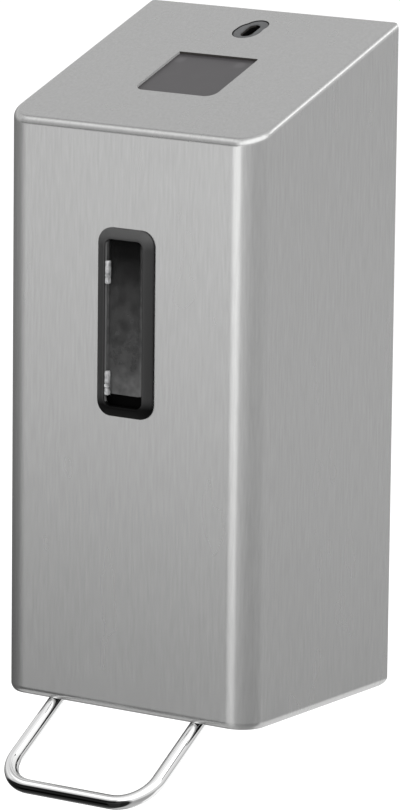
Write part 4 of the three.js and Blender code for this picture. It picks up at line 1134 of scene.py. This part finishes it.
def make_floor():
    """A pale floor that shows the object's shadow and is lifted to white where the camera sees it."""
    half = FLOOR["half"]
    shader = Shader("floor")
    shader.colour(shader.noise(waves=3, detail=2), grey(1), *FLOOR_TONES)
    rays = shader.node("LightPath").outputs
    lift = shader.calculate("MULTIPLY", rays["Is Camera Ray"], FLOOR["lift"])
    shader.set(roughness=FLOOR["roughness"], emission_color=WHITE, emission_strength=lift)
    corners = [(-half, -half), (half, -half), (half, half), (-half, half)]
    floor = level_sheet("floor", corners, FLOOR["height"], shader.material)
    floor.visible_glossy = False


# Studio panels for the metal to mirror: middle azimuth (0 in front of the object, 90 on its right) and half
# width, lowest and highest elevation, the width of the soft edge, all in degrees, then the brightness
PANELS = (
    ("back_left_ceiling", -133, 60, 28, 72, 12, 0.79),
    ("left_dusk", -115, 62, -60, 12, 36, 0.42),
    ("left_dark", -137, 42, -60, 12, 40, 0.27),
    ("right_dusk", 110, 75, -60, 15, 56, 0.7),
    ("back_right_wall", 152, 26, -18, 10, 30, 0.7),
    ("low_front", -50, 50, -80, -40, 6, 1.5),
    ("low_front_dark", -40, 16, -37, -18, 4, 0.13),
    ("low_back_right", 158, 45, -62, -19.5, 8, 2.0),
    ("front_strip", -13.5, 16, -45, 8, 5, 1.9),
    ("dark_above_front", -36, 26, 0, 20, 6, 0.3),
    ("grey_above_front", -40, 30, 16, 38, 8, 0.65),
    ("front_softbox", -52, 38, 47, 58, 6, 1.5),
    ("corner_softbox", 45, 62, 24, 78, 8, 1.9),
    ("right_edge_softbox", 140, 40, 41, 55, 6, 2.4),
    ("ridge_shadow", -114, 10, 44, 62, 5, 0.5),
    ("arm_line", 110, 5, 28, 58, 3, 0.3),
)
WORLD_LIGHT = 0.7


def add_panel(tree, level_direction, height, value, panel):
    """Mixes one panel into the brightness that the metal mirrors."""
    _, azimuth, half, low, high, soft, level = panel

    def soft_step(source, angle, wave):
        start, end = sorted(wave(math.radians(angle + side * soft / 2)) for side in (-1, 1))
        return tree.ranged(source, start, end, kind="SMOOTHSTEP")

    turn = math.radians(azimuth)
    middle = (math.sin(turn), -math.cos(turn), 0)
    across = soft_step(tree.vector("DOT_PRODUCT", level_direction, middle, output="Value"), half, math.cos)
    above = soft_step(height, low, math.sin)
    below = tree.calculate("SUBTRACT", 1, soft_step(height, high, math.sin))
    mask = tree.calculate("MULTIPLY", across, tree.calculate("MULTIPLY", above, below))
    return tree.node("Mix", {"Factor": mask, "A": value, "B": level}, data_type="FLOAT").outputs["Result"]


def make_world():
    """White to the camera and through glass, panels to gloss, and plain soft light on everything else."""
    world = bpy.data.worlds.new("studio")
    world.use_nodes = True
    world.node_tree.nodes.clear()
    bpy.context.scene.world = world
    tree = Nodes(world.node_tree)
    direction = tree.node("TexCoord").outputs["Generated"]
    height = tree.split(direction)["Z"]
    level_direction = tree.vector("NORMALIZE", tree.vector("MULTIPLY", direction, (1, 1, 0)))
    mirrored = 1.0
    for panel in PANELS:
        mirrored = add_panel(tree, level_direction, height, mirrored, panel)

    def background(strength):
        return tree.node("Background", {"Color": WHITE, "Strength": strength}).outputs["Background"]

    rays = tree.node("LightPath").outputs
    light = background(WORLD_LIGHT)
    white = background(1.0)
    for ray, seen in (
        ("Is Glossy Ray", background(mirrored)),
        ("Is Transmission Ray", white),
        ("Is Camera Ray", white),
    ):
        light = tree.node("MixShader", {"Fac": rays[ray], 1: light, 2: seen}).outputs["Shader"]
    tree.node("OutputWorld", {"Surface": light})


# Lamps: place in metres, width and power
LAMPS = (("key", (-0.9, -1.3, 1.3), 1.1, 16), ("fill", (1.2, -0.8, 1.0), 1.2, 7))


def make_lamp(name, place, size, power):
    data = bpy.data.lights.new(name, "AREA")
    data.shape = "DISK"
    data.size = size
    data.energy = power
    lamp = add_object(name, data)
    lamp.location = place
    lamp.rotation_euler = Vector(place).to_track_quat("Z", "Y").to_euler()
    lamp.visible_glossy = False


# Card under the object: what it lets through rises from its middle outwards, over the distances of fade
CARD = {"place": (-0.2, -0.3, -0.3), "radius": 2.2, "sides": 96}
CARD_FADE = (0.3, 1.9)
CARD_CLARITY = (0.5, 1.0)


def card_material():
    material = bpy.data.materials.new("low_card")
    material.use_nodes = True
    material.node_tree.nodes.clear()
    tree = Nodes(material.node_tree)
    place = tree.node("TexCoord").outputs["Object"]
    distance = tree.vector("DISTANCE", place, CARD["place"], output="Value")
    clarity = tree.ranged(distance, *CARD_FADE, *CARD_CLARITY, kind="SMOOTHSTEP")
    clear = tree.node("BsdfTransparent", {"Color": clarity}).outputs["BSDF"]
    tree.node("OutputMaterial", {"Surface": clear})
    return material


def make_low_card():
    """A smoked card low under the object, seen by gloss alone: it darkens what the lower walls mirror."""
    middle_x, middle_y, height = CARD["place"]
    corners = [(middle_x + x, middle_y + y) for x, y in circle(CARD["radius"], CARD["sides"])]
    card = level_sheet("low_card", corners, height, card_material())
    card.visible_camera = False
    card.visible_diffuse = False
    card.visible_transmission = False
    card.visible_shadow = False


make_camera()
make_cover()
make_window_frame()
make_clips()
make_label()
make_lock()
make_bow()
make_bottle()
make_cap()
make_spring()
finish_other_pieces()
make_floor()
make_world()
make_low_card()
for lamp in LAMPS:
    make_lamp(*lamp)

bpy.context.scene.view_settings.view_transform = "Standard"
